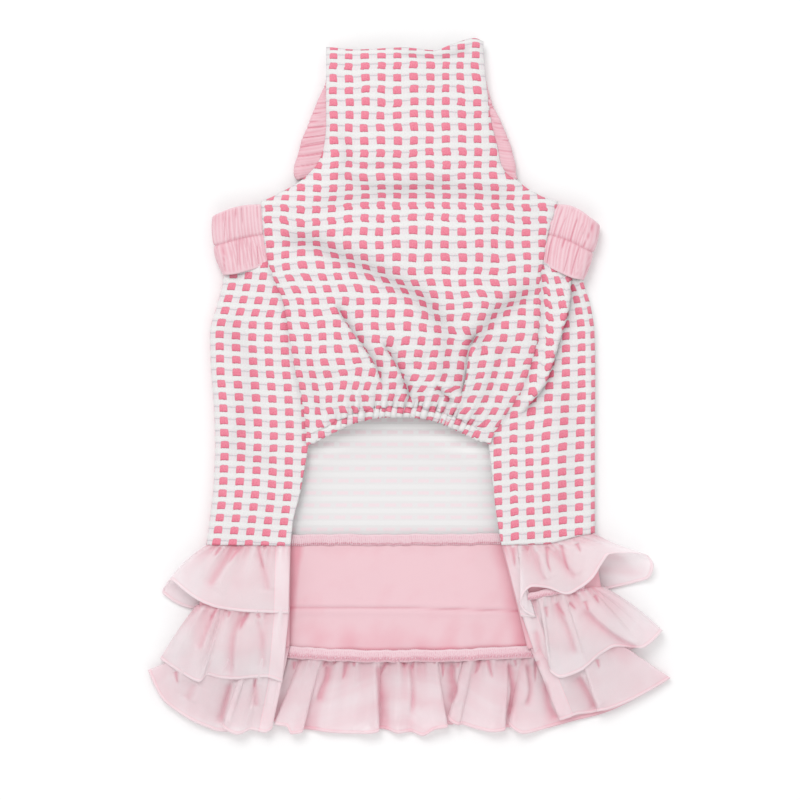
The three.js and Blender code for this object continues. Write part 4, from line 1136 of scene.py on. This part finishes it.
def underskirt():
    round_at = rounds(30, 8, 130, 8, 30)[None]
    down = np.linspace(0, 1, 54)[:, None]
    x, z = wrap(np.repeat(round_at, len(down), 0), skirt_section(down))
    y = mix(waist_line(round_at), bottom_line(round_at), down)
    under = (round_at > 2) & (round_at < 3)
    stitch = np.abs(y - (stitch_line_y - 0.025 * np.maximum(x, 0)))
    pressed = -0.7 * np.exp(-(stitch / 0.5) ** 2) + 0.45 * np.exp(-((stitch - 1.8) / 1.6) ** 2)
    soft = 0.45 * slack(x, y, 26, 31) + 0.35 * slack(x, y * 0.4, 17, 32)
    z = z + np.where(under, pressed + soft * ease(0, 0.1, down), 0)
    # Painted shadows: a deep pink band where the left wing's edge shades the underskirt, a softer one at the
    # right, darker pink along the lower edge, and a line in the pressed stitch groove.
    inner_edge = mix(-59.5, -60.5, down)
    shade_left = 0.6 * ease(0, 1, (mix(8.0, 2.0, down) - (x - inner_edge)) / 3.5)
    right_edge = mix(46, 59, down)
    shade_right = 0.4 * ease(0, 1, (8 - (right_edge - x)) / 8)
    low_shade = 0.55 * ease(0.945, 0.985, down) + 0.22 * ease(0.6, 1, down) * (0.6 + slack(x, y, 14, 35))
    crease_and_painted_shade = np.where(under, 0.3 * np.exp(-(stitch / 0.5) ** 2) + shade_left + shade_right + low_shade, 0.3)
    points = np.stack([x, y, z], -1)
    flat = np.stack([run(points, 1), y], -1)
    return cloth_mesh("underskirt", points, 0.9, flat, (plain_jersey,), marks={"crease_and_painted_shade": crease_and_painted_shade})


skirt_cloth = underskirt()

# %% [markdown]
# ## Ruffles
# A ruffle is a long strip gathered onto a short seam, so its hem is far longer than its seam and stands in
# flutes. The hem is drawn here as a line in space through chosen places, lapping over itself where one
# pleat lies on the next. Threads run from the seam to the hem, and the cloth between bellies up where there
# is more of it than the distance it spans.

# %% Places along the hems: round is the place on the seam that a thread starts from
def turned_edge(round_at, x, y, leads):
    """A pleat lapping over the cloth beside it. leads is 1 where the upper layer comes first, else -1."""
    steps = [(-1.4, -5.6, 0.5, 6.4), (0.0, 0.0, 1.4, 6.0), (0.7, 0.4, 2.2, 3.8),
             (1.6, -4.4, 2.6, 1.3), (2.8, 2.6, 2.4, 1.4)]
    return [(round_at + leads * 0.01 * r, x + leads * dx, y + dy, z) for r, dx, dy, z in steps][::leads]


top_hem = table(
    "round x y z",
    (0.00, -60.0, -110.8, 10.2), (0.16, -67.0, -110.6, 10.5), (0.42, -81.0, -110.0, 11.2),
    (0.62, -94.3, -108.3, 10.6), (0.78, -104.2, -104.7, 11.0), (0.90, -112.2, -99.3, 10.2),
    (1.00, -118.6, -94.2, 8.4), (1.40, -121.6, -97.2, 4.4), (1.80, -123.6, -101.0, 2.0),
    (2.03, -119.3, -105.0, 1.0), (2.10, -108.6, -109.2, 0.8), (2.30, -60.0, -110.4, 0.8),
    (2.70, 30.0, -109.0, 0.8), (2.90, 92.0, -101.0, 0.8), (3.00, 112.0, -96.5, 1.2),
    (3.30, 120.6, -93.5, 3.0), (3.65, 122.3, -87.5, 5.5), (3.95, 119.5, -82.5, 7.6),
    (4.08, 115.0, -81.0, 10.6), (4.18, 108.0, -80.5, 12.2), (4.27, 100.0, -81.0, 13.0),
    (4.35, 96.5, -85.0, 13.0), (4.43, 91.5, -93.0, 13.0), (4.50, 85.5, -98.0, 12.0),
    (4.58, 78.5, -101.3, 11.0), (4.66, 69.0, -98.2, 11.6), (4.74, 61.3, -97.4, 12.4),
    (4.77, 57.2, -100.5, 12.2), (4.79, 55.4, -106.0, 11.2), (4.815, 58.0, -110.4, 10.1),
    (4.845, 63.4, -113.0, 9.6), (5.00, 54.9, -112.3, 9.5))
middle_hem = table(
    "round x y z",
    (0.00, -63.2, -145.4, 8.4), (0.17, -71.5, -142.8, 8.8), (0.32, -79.0, -143.2, 8.4),
    (0.46, -86.0, -143.8, 9.2), (0.60, -94.0, -143.4, 8.6), (0.70, -101.0, -141.8, 8.0),
    (0.76, -104.5, -145.0, 9.8), (0.88, -112.0, -141.8, 8.4), (1.00, -119.0, -137.5, 7.6),
    (1.35, -124.4, -134.0, 4.2), (1.75, -124.4, -134.5, 2.2), (2.03, -117.0, -139.5, 1.0),
    (2.12, -104.0, -143.5, 0.8), (2.30, -62.0, -144.8, 0.8), (2.55, 5.0, -145.0, 0.8),
    (2.80, 70.0, -141.0, 0.8), (2.93, 105.0, -132.0, 0.8), (3.00, 116.0, -127.5, 1.4),
    (3.50, 126.8, -120.0, 3.2), (4.00, 125.8, -120.5, 7.6), (4.10, 115.7, -128.2, 9.6),
    (4.20, 104.0, -127.5, 9.2), (4.32, 96.3, -131.0, 9.2), (4.46, 85.6, -139.6, 9.4),
    (4.58, 75.6, -143.0, 10.0), (4.68, 71.0, -140.5, 9.8), (4.715, 69.8, -138.6, 8.6),
    (4.76, 72.6, -142.0, 7.5), (4.84, 72.0, -142.8, 7.3), (5.00, 67.2, -144.3, 7.3))
bottom_hem = table(
    "round x y z",
    (0.00, -68.6, -169.0, 5.2), (0.10, -72.0, -170.8, 6.2), (0.22, -79.0, -169.6, 4.6),
    (0.34, -86.0, -171.6, 7.2), (0.40, -92.0, -169.0, 7.0), (0.43, -93.2, -167.6, 5.2),
    (0.46, -90.5, -170.6, 3.6), (0.50, -95.5, -170.4, 3.0), (0.56, -101.0, -168.4, 3.8),
    (0.66, -108.5, -165.0, 4.8), (0.76, -116.6, -160.0, 4.0), (0.86, -122.4, -155.2, 4.8),
    (0.95, -126.6, -149.0, 4.2), (1.20, -130.6, -139.8, 3.6), (1.70, -130.4, -140.6, 1.8),
    (1.95, -125.8, -149.6, 0.9), (2.05, -114.0, -159.6, 0.8), (2.11, -98.0, -166.2, 1.0),
    (2.17, -84.0, -168.4, 0.8), (2.22, -73.0, -167.4, 1.3),
    *turned_edge(2.270, -66.8, -168.2, -1), *turned_edge(2.302, -53.4, -172.0, 1),
    (2.360, -41.0, -170.8, 3.8), (2.400, -29.0, -171.6, 3.0), *turned_edge(2.443, -15.4, -171.8, 1),
    (2.500, -5.5, -171.4, 4.2), (2.527, 0.8, -170.8, 2.0), (2.548, 7.0, -172.6, 4.6),
    *turned_edge(2.578, 19.0, -169.6, 1),
    (2.655, 24.0, -163.4, 1.4), (2.662, 19.6, -163.2, 4.0), (2.668, 20.4, -164.8, 6.4),
    (2.680, 24.4, -167.0, 6.0), (2.690, 26.0, -167.0, 3.0), (2.710, 34.5, -169.4, 3.8),
    *turned_edge(2.760, 47.8, -171.0, 1),
    (2.793, 54.0, -165.6, 1.4), (2.800, 50.0, -166.6, 4.2), (2.806, 51.6, -168.6, 6.6),
    (2.820, 57.2, -171.4, 5.4), (2.850, 69.5, -168.8, 2.2), (2.885, 83.0, -165.2, 1.2),
    (2.920, 95.3, -162.2, 1.0), (2.955, 107.0, -157.6, 1.0), (3.000, 120.0, -150.4, 1.0),
    (3.400, 130.6, -144.2, 1.6), (3.800, 130.8, -143.8, 3.0), (4.050, 120.4, -150.0, 4.2),
    (4.200, 107.0, -156.6, 4.8), (4.300, 98.6, -159.4, 6.4), (4.360, 94.8, -160.0, 6.8),
    (4.385, 94.2, -160.4, 4.6), (4.410, 97.6, -159.4, 2.6), (4.450, 91.0, -161.4, 2.4),
    (4.580, 85.0, -161.8, 3.2), (4.720, 79.4, -163.4, 5.6), (4.860, 76.4, -164.4, 5.4),
    (5.000, 75.2, -164.6, 5.0))
print("places along the hems:", len(top_hem), len(middle_hem), len(bottom_hem))

# %% Threads from the seam to the hem
def hem_places(hem, step):
    """Threads a step apart at the hem: where each starts on the seam, and where it ends."""
    fine = np.linspace(0, 5, 6001)
    places = np.stack([column(hem, "round", key)(fine) for key in "xyz"], -1)
    length = run(places, 0)
    round_at = np.interp(np.arange(0, length[-1], step), length, fine)
    return round_at, np.stack([column(hem, "round", key)(round_at) for key in "xyz"], -1)[None]


def bellied(seam_line, hem_line, round_at, over, depth, sides):
    """The threads as a grid, standing up where they are longer than their way. sides is how far they lean
    out at the left and at the right fold."""
    down = np.linspace(0, 1, int(depth / 0.85))[:, None]
    points = mix(seam_line, hem_line, down[..., None])
    span = np.linalg.norm(hem_line - seam_line, axis=-1)
    spare = np.sqrt(np.clip(depth ** 2 - span ** 2, 0, None))
    belly = np.where(over, np.minimum(0.25 * spare, 1.6) + 0.3, 0.2)
    points[..., 2] += belly * np.sin(np.pi * down ** 0.8)
    lean_left, lean_right = (out * np.exp(-((round_at - at) / 0.5) ** 2)
                             for out, at in zip(sides, (1.4, 3.6)))
    points[..., 0] += (lean_right - lean_left) * np.sin(np.pi * down)
    points[..., 1] += 0.7 * np.abs(lean_right - lean_left) * np.sin(np.pi * down)
    return points, down, span


def lapped(points, folds, shown):
    """Lays the cloth over itself along each fold, and gives the shade to paint beside it."""
    shade = np.zeros(points.shape[:2])
    for f in folds:
        left, share, _ = beside(points[..., 0], points[..., 1], f["places"])
        fade = ease(0, 0.15, share) * ease(0, 0.15, 1 - share) * shown
        lap = 0.5 + 0.5 * np.tanh(left / f["sharp"])
        reach = np.exp(-(left / f["width"]) ** 2)
        points[..., 2] += fade * reach * (f["lip"] * lap - f["dip"] * (1 - lap))
        shade = shade + fade * f["tone"] * (1 - lap) * np.exp(-(left / (0.55 * f["width"])) ** 2)
    return shade


def pinched(points, pinches, shown):
    """Presses the short sharp gathers in, and gives the shade to paint into them."""
    shade = np.zeros(points.shape[:2])
    for places in pinches:
        left, share, _ = beside(points[..., 0], points[..., 1], places)
        narrowing = mix(1.1, 0.35, share)
        line = np.exp(-(left / narrowing) ** 2) * ease(0, 0.02, share) * ease(0, 0.3, 1 - share) * shown
        points[..., 2] -= 0.8 * line
        shade = shade + 0.85 * line
    return shade


print("threads of the upper ruffle:", hem_places(top_hem, 0.8)[0].size)

# %% A ruffle between its seam and its hem
gather_pitch = 3.4


def ruffle(name, hem, seam_y, section, folds, pinches, depth, step, seed, sides=(0, 0), hidden=0.0,
           low_cloth_painted_shade=0.0, under_shows=False):
    """seam_y gives the seam's Y along the walk. hidden is what a seam band covers, and deeper how much
    painted shade, as a darker pink, the ruffle gets where it lies low under other layers."""
    round_at, hem_line = hem_places(hem, step)
    seam_x, seam_z = wrap(round_at, section)
    seam_line = np.stack([seam_x, seam_y(round_at), seam_z], -1)[None]
    over = ((round_at < 1.2) | (round_at > 3.8))[None]
    shown = over | under_shows
    points, down, span = bellied(seam_line, hem_line, round_at, over, depth, sides)
    along_seam, from_seam = run(seam_line[0], 0)[None], down * span
    narrow, wide = gathers(along_seam, gather_pitch, seed), gathers(along_seam, gather_pitch * 2.9, seed + 1)
    rise = 1.1 * narrow * np.exp(-from_seam / 5) + 2.0 * wide * np.exp(-from_seam / 15)
    points[..., 2] += np.where(shown, 1.0, 0.25) * rise * ease(hidden, hidden + 2.5, from_seam)
    uneven = 0.75 + 0.45 * slack(along_seam, np.zeros_like(along_seam), 16, seed + 2)
    # Painted shade: darker pink where the gathers crowd at the seam, and on the part of the ruffle that lies
    # under the back.
    painted_gather_shade = 0.7 * (1 - narrow) * np.exp(-from_seam / 4) + 0.6 * (1 - wide) ** 2 * np.exp(-from_seam / 12)
    shade = painted_gather_shade * uneven + 0.13 * ease(2.02, 2.15, round_at) * ease(2.98, 2.85, round_at)
    shade = shade + lapped(points, folds, shown)
    shade = shade + pinched(points, pinches, shown)
    # More painted shade, as a darker pink, where the ruffle lies low beneath other layers.
    shade = shade + (0.1 + 3.3 * low_cloth_painted_shade) * ease(3.2, 1.0, points[..., 2]) + low_cloth_painted_shade
    points[..., 2] = np.maximum(points[..., 2], 0.35)
    along_hem = run(hem_line[0], 0)[None]
    hem_front, seam_front = (np.minimum(line, line[:, -1:] - line) for line in (along_hem, along_seam))
    from_front, from_hem = mix(seam_front, hem_front, down), (1 - down) * span
    thick = chiffon_cloth + 0.12 * (from_hem < hem_width) + 0.2 * (from_front < front_hem)
    flat = np.stack([from_front, from_hem], -1)
    return cloth_mesh(name, points, thick, flat, (chiffon,), marks={"crease_and_painted_shade": np.clip(shade, 0, 1)})


# %% [markdown]
# ## Folds and gathers of the ruffles
# The photo's pleats come in two kinds. Some run from the seam to the hem and lie one over the next: those
# are paths with a lip. Others are short sharp gathers that fade out: those are pinches, given by their
# path alone. A seeded row of small gathers fills the seam between them.

# %% Pleats that run down the ruffles
# Each pleat's tone is the strength of the shade painted on the cloth it laps over.
top_folds = [
    dict(places=[(-83.7, -77), (-93.5, -89.5), (-99, -98.5)], lip=1.0, dip=1.2, width=5, sharp=1.2, tone=0.6),
    dict(places=[(-75.5, -78.5), (-70.7, -92), (-69, -100)], lip=1.0, dip=1.0, width=4, sharp=1.2, tone=0.45),
    dict(places=[(73, -78), (78, -86), (84, -93)], lip=1.0, dip=1.0, width=4, sharp=1.0, tone=0.5),
    dict(places=[(64.5, -79), (65.5, -88), (69, -95)], lip=1.0, dip=1.0, width=4, sharp=1.0, tone=0.4),
]
middle_folds = [
    dict(places=[(-96, -110.5), (-100, -119.5), (-104, -130)],
         lip=0.8, dip=1.0, width=4, sharp=1.0, tone=0.6),
    dict(places=[(-80.5, -112), (-86.5, -121.5), (-88, -144)],
         lip=1.2, dip=1.2, width=5, sharp=1.0, tone=0.6),
    dict(places=[(-75, -112), (-72, -126), (-72, -140)], lip=0.8, dip=0.8, width=4, sharp=1.2, tone=0.4),
    dict(places=[(87, -106.7), (95, -115.3), (107, -123.9), (115.5, -128)],
         lip=1.4, dip=1.5, width=5, sharp=0.9, tone=0.7),
    dict(places=[(72.5, -104.5), (80, -119), (84, -132)], lip=1.0, dip=1.1, width=4, sharp=1.0, tone=0.6),
    dict(places=[(64, -117.5), (66.5, -130), (70.5, -139.5)], lip=1.2, dip=1.2, width=4, sharp=0.8, tone=0.7),
]
bottom_folds = [
    dict(places=[(-88, -145), (-93.5, -167)], lip=1.4, dip=1.4, width=5, sharp=0.8, tone=0.7),
    dict(places=[(-76, -145.5), (-75.5, -158)], lip=0.9, dip=1.0, width=4, sharp=1.2, tone=0.6),
    dict(places=[(-106, -146), (-110, -155)], lip=0.7, dip=0.9, width=5, sharp=1.5, tone=0.4),
    dict(places=[(84.9, -141), (90, -150), (94.9, -159.5)], lip=1.5, dip=1.5, width=5, sharp=0.8, tone=0.8),
    dict(places=[(69, -143), (71.3, -157), (75.5, -164)], lip=1.2, dip=1.2, width=4, sharp=0.8, tone=0.6),
    dict(places=[(-14.9, -168.7), (-15.4, -152.2), (-15.8, -144.5), (-16.3, -136.0)],
         lip=1.3, dip=1.3, width=4, sharp=0.7, tone=0.7),
    dict(places=[(0.7, -163.8), (1.2, -149.5), (0.5, -140.0), (-0.2, -136.0)],
         lip=1.2, dip=1.2, width=4, sharp=0.8, tone=0.6),
    dict(places=[(23.2, -134.5), (22.8, -142.4), (24.2, -148.6), (21.5, -157.5)],
         lip=1.2, dip=1.4, width=4, sharp=0.7, tone=0.8),
    dict(places=[(48.7, -164.7), (50.9, -149.5), (50.0, -142.4), (49.2, -135.2)],
         lip=1.3, dip=1.5, width=4, sharp=0.7, tone=0.9),
    dict(places=[(57.6, -158.4), (59.9, -149.5), (59.4, -142.4), (58.1, -136.1)],
         lip=1.2, dip=1.4, width=4, sharp=0.8, tone=0.7),
    dict(places=[(-46.7, -155.8), (-44.8, -149.5), (-42.2, -143.2), (-41.3, -135.6)],
         lip=0.9, dip=1.2, width=4, sharp=0.8, tone=0.7),
]
print("pleats:", len(top_folds), len(middle_folds), len(bottom_folds))

# %% Short sharp gathers at the seams
top_pinches = [
    [(-83.3, -76.9), (-86.5, -81.0), (-90.3, -86.5)],
    [(-85.7, -76.9), (-86.8, -80.0)],
    [(-74.9, -76.9), (-73.9, -82.9), (-71.9, -90.2)],
    [(-72.5, -77.0), (-71.0, -79.0)],
    [(52.2, -78.2), (52.9, -88.3)],
    [(58.9, -77.5), (59.2, -80.0)],
    [(68.6, -77.5), (69.0, -85.0), (71.0, -91.5)],
    [(75.7, -76.5), (77.8, -84.9), (79.8, -90.3)],
    [(83.5, -76.0), (85.5, -80.5)],
    [(-94.0, -78.0), (-97.0, -82.5)],
]
middle_pinches = [
    [(-95.3, -108.5), (-97.3, -111.0), (-99.5, -115.0)],
    [(-89.3, -109.5), (-90.0, -113.0)],
    [(-80.0, -110.5), (-82.6, -115.0), (-84.5, -120.0)],
    [(-75.9, -110.8), (-73.8, -113.5)],
    [(73.5, -105.5), (75.5, -109.0), (78.5, -113.0)],
    [(79.8, -105.5), (83.5, -109.0)],
    [(92.5, -101.8), (94.5, -105.8)],
    [(87.5, -104.5), (89.5, -110.0)],
    [(68.0, -107.5), (69.0, -113.5)],
]
bottom_pinches = [
    [(-57.3, -135.0), (-57.8, -140.0)],
    [(-31.7, -135.0), (-32.3, -141.0), (-33.5, -145.0)],
    [(-27.5, -135.0), (-27.5, -138.0)],
    [(-11.0, -135.0), (-13.2, -139.2), (-14.5, -142.5)],
    [(2.5, -134.0), (1.5, -139.5)],
    [(16.2, -133.8), (17.0, -139.2), (16.7, -144.5)],
    [(25.0, -134.0), (24.0, -139.0)],
    [(35.3, -134.0), (34.4, -138.4), (32.5, -142.5)],
    [(39.3, -134.0), (40.7, -139.7), (42.0, -144.1)],
    [(52.8, -134.0), (53.8, -138.5)],
    [(63.4, -134.5), (63.2, -146.5)],
    [(-41.5, -134.5), (-43.0, -138.5)],
    [(-36.0, -134.5), (-38.0, -137.0)],
    [(-3.0, -134.5), (-2.0, -138.5)],
    [(12.5, -134.0), (13.0, -136.5)],
    [(-76.6, -143.5), (-77.2, -148.5)],
    [(-116.5, -140.0), (-115.5, -146.5)],
    [(93.8, -134.0), (95.0, -138.5)],
]
print("pinches:", len(top_pinches), len(middle_pinches), len(bottom_pinches))

# %% Build the three ruffles
def seam_section(down):
    """The section that a ruffle is sewn to: the underskirt's outside, a given share of the way down it."""
    skirt = skirt_section(down)
    top = skirt["top"] + layer * 0.85
    return {**skirt, "fold_left": skirt["fold_left"] - layer, "fold_right": skirt["fold_right"] + layer,
            "top": top, "flap_top": top, "bottom": 0.8}


middle_section = {**seam_section(middle_seam / skirt_length), "bottom": 1.2}
top_frill = ruffle("ruffle_upper", top_hem, waist_line, seam_section(0.0), top_folds, top_pinches,
                   depth=36, step=0.8, seed=91, sides=(1.5, 0))
middle_frill = ruffle("ruffle_middle_tier", middle_hem, middle_line, middle_section, middle_folds,
                      middle_pinches, depth=40, step=0.8, seed=94, sides=(0.6, 1.2), low_cloth_painted_shade=0.04)
bottom_frill = ruffle("ruffle_lowest", bottom_hem, bottom_line, skirt_section(1.0), bottom_folds,
                      bottom_pinches, depth=43, step=0.62, seed=97, hidden=2.5, low_cloth_painted_shade=0.12, under_shows=True)

# %% [markdown]
# ## Overlocked seams
# Inside the skirt the seam allowances show: the cut edges are trimmed and wrapped by an overlock stitch, a
# dense row of slanted thread loops. A flat strip carries them, and the loops are real threads.

# %% Strips with their loops
def trimmed(line):
    """A line of points with the small wanders of an edge cut by hand."""
    along, level = line[:, 0], np.zeros(len(line))
    return line + np.stack([level, 0.3 * slack(along, level, 5, 81), 0.2 * slack(along, level, 7, 82)], -1)


def overlocked(name, low, high, pitch, sway, stitch_share, knot_shade=0.2, knots=1):
    """A trimmed edge between two lines of points: a pale strip, its loops and a row of dark stitches.
    knots is how many loops apart the stitches stand."""
    low, high = trimmed(low), trimmed(high)
    f = np.linspace(0, 1, 9)[:, None]
    points = mix(low, high, f[..., None])
    points[..., 2] += 0.35 * np.sin(np.pi * f)
    # Painted shade: the strip turns darker pink along the row of stitches, between the knots.
    shade = np.broadcast_to(knot_shade * np.exp(-((f - stitch_share) / 0.17) ** 2), points.shape[:2])
    strip = cloth_mesh(name, points, 0.8, points[..., :2], (edge_jersey,), marks={"crease_and_painted_shade": shade})
    length = run(low, 0)
    rng = np.random.default_rng(83)

    def on_strip(along, share):
        place = [np.interp(along, length, mix(low, high, share)[:, k]) for k in range(3)]
        return np.array(place) + (0, 0, 0.5 + 0.35 * np.sin(np.pi * share))

    loops, stitches = [], []
    for at in np.arange(0.6, length[-1] - 0.6, pitch):
        lean = sway + rng.uniform(-0.2, 0.2)
        end = 1.02 + rng.uniform(0, 0.06)
        loops.append([on_strip(at - lean, 0.04), on_strip(at - 0.3 * lean, 0.4),
                      on_strip(at + 0.4 * lean, 0.8), on_strip(at + lean, end) - (0, 0, 0.5)])
    for at in np.arange(0.6, length[-1] - 0.6, pitch * knots):
        height = rng.uniform(-0.05, 0.05)
        stitches.append([on_strip(at - 0.38 * knots, stitch_share - 0.1 + height),
                         on_strip(at - 0.1 * knots, stitch_share + 0.1 + height),
                         on_strip(at + 0.3 * knots, stitch_share + 0.06 + height)])
    stitch_thread = pink_thread if knots > 1 else deep_thread
    threads = [strands_mesh(name + "_loops", loops, 0.17, pink_thread),
               strands_mesh(name + "_stitches", stitches, 0.2 * knots, stitch_thread)]
    for thread in threads:
        thread.parent = strip
    return strip, threads


# %% Allowances of the waist seam and of the lower seam
seam_share = np.linspace(0, 1, 181)


def across_back(reach, y, z):
    """Points along a seam: reach is its two ends, y its Y at each share of the way, z its height."""
    return np.stack([mix(*reach, seam_share), y, np.full(seam_share.size, z)], -1)


waist_reach, hem_reach = (-88.0, 80.0), (-66.0, 66.0)
waist_seam_y = waist_line(2 + seam_share)
hem_sag = 2.2 * np.exp(-(seam_share / 0.16) ** 2) + 0.5 * ease(0.6, 0.9, seam_share)
hem_seam_y = bottom_line(2.2 + 0.6 * seam_share) + hem_sag
waist_allowance, waist_threads = overlocked(
    "waist_overlock", across_back(waist_reach, waist_seam_y - 0.3, 2.5),
    across_back(waist_reach, waist_seam_y + 5.2, 3.0), 1.0, 0.5, 0.1)
hem_allowance, hem_threads = overlocked(
    "ruffle_overlock", across_back(hem_reach, hem_seam_y - 4.8, 5.2),
    across_back(hem_reach, hem_seam_y + 1.2, 4.9), 0.95, 0.6, 0.26, knot_shade=0.75, knots=1.7)

# %% The gathered edge of the middle ruffle, where the upper one is turned aside
right_side = np.linspace(4.16, 4.86, 90)
seam_x, seam_z = wrap(right_side, seam_section(middle_seam / skirt_length))
gathered_low = np.stack([seam_x, middle_line(right_side) - 1.6, seam_z + 1.6], -1)[::-1]
gathered_edge, gathered_threads = overlocked("gathered_edge", gathered_low, gathered_low + (0, 3.4, -0.3),
                                             1.0, 0.5, 0.25, knot_shade=0.7, knots=1.6)
gathered_edge.parent = middle_frill

# %% [markdown]
# ## Each piece takes the place of its solid
# Every piece rides on the one body and takes the place of its solid, which is hidden.

def declare(piece, node):
    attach(piece, "root")
    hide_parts(node)


declare(chest_cloth, "chest_panel")
declare(belly_hem, "belly_casing")
declare(back_cloth, "back_panel")
for side, name in ((-1, "left"), (1, "right")):
    declare(leg_bands[side], "leg_cuff_" + name)
    declare(neck_bands[side], "neck_gusset_" + name)
declare(skirt_cloth, "skirt_base")
declare(waist_allowance, "waist_seam")
declare(hem_allowance, "ruffle_seam")
declare(top_frill, "ruffle_top")
declare(middle_frill, "ruffle_middle")
declare(bottom_frill, "ruffle_bottom")

# %% [markdown]
# ## Table
# The dress lies on a plain white table, which is one large square a little below the cloth. It is only a
# stage: it isn't part of the dress.

# %% Table
def one_plain_colour(start, place, u, v):
    return {}


def table_top():
    mesh = bpy.data.meshes.new("table_top")
    reach, level = 3.0, -0.0004
    corners = [(-reach, -reach, level), (reach, -reach, level), (reach, reach, level), (-reach, reach, level)]
    mesh.from_pydata(corners, [], [(0, 1, 2, 3)])
    mesh.uv_layers.new(name="flat")
    white = finish_of("table_white", {"Base Color": (0.88, 0.88, 0.88, 1), "Roughness": 0.9},
                      one_plain_colour)
    in_scene(mesh, (white,))
    print("table", 2 * reach, "m wide")


table_top()

# %% [markdown]
# ## Light
# One large soft lamp stands in for a window beyond the neck and to the left, so the shadows fall below the
# hem. A weak one beyond the hem lifts the folds' dark sides, and a white world does the rest.

# %% Lamps and a white room
def soft_light(name, place, size, power):
    light = bpy.data.lights.new(name, "AREA")
    light.size, light.energy = size, power
    lamp = bpy.data.objects.new(name, light)
    lamp.location = place
    lamp.rotation_euler = (-Vector(place)).to_track_quat("-Z", "Y").to_euler()
    bpy.context.scene.collection.objects.link(lamp)
    print(name, power, "W")


soft_light("window_upper_left", (-0.5, 1.05, 1.7), 1.0, 16.2)
soft_light("bounce_lower_right", (0.7, -1.2, 1.0), 1.5, 2.5)
world = bpy.data.worlds.new("white_room")
world.use_nodes = True
world.node_tree.nodes["Background"].inputs["Color"].default_value = (1, 1, 1, 1)
world.node_tree.nodes["Background"].inputs["Strength"].default_value = 0.86
bpy.context.scene.world = world
bpy.context.scene.view_settings.view_transform = "Standard"

# %% [markdown]
# ## Camera
# The photo is taken straight from above, and its middle is a little left of and below the dress's own. A
# long lens far away leaves hardly any lean at the edges. Its height follows from the width it has to see.

# %% Camera, straight above
picture_width, picture_centre, dress_height = 400 * MM, (-4.5 * MM, -4.5 * MM), 5 * MM
lens = bpy.data.cameras.new("overhead")
lens.lens, lens.sensor_width = 120, 36
camera = bpy.data.objects.new("overhead", lens)
camera.location = (*picture_centre, picture_width * lens.lens / lens.sensor_width + dress_height)
bpy.context.scene.collection.objects.link(camera)
bpy.context.scene.camera = camera
print("camera height", round(camera.location.z, 3))
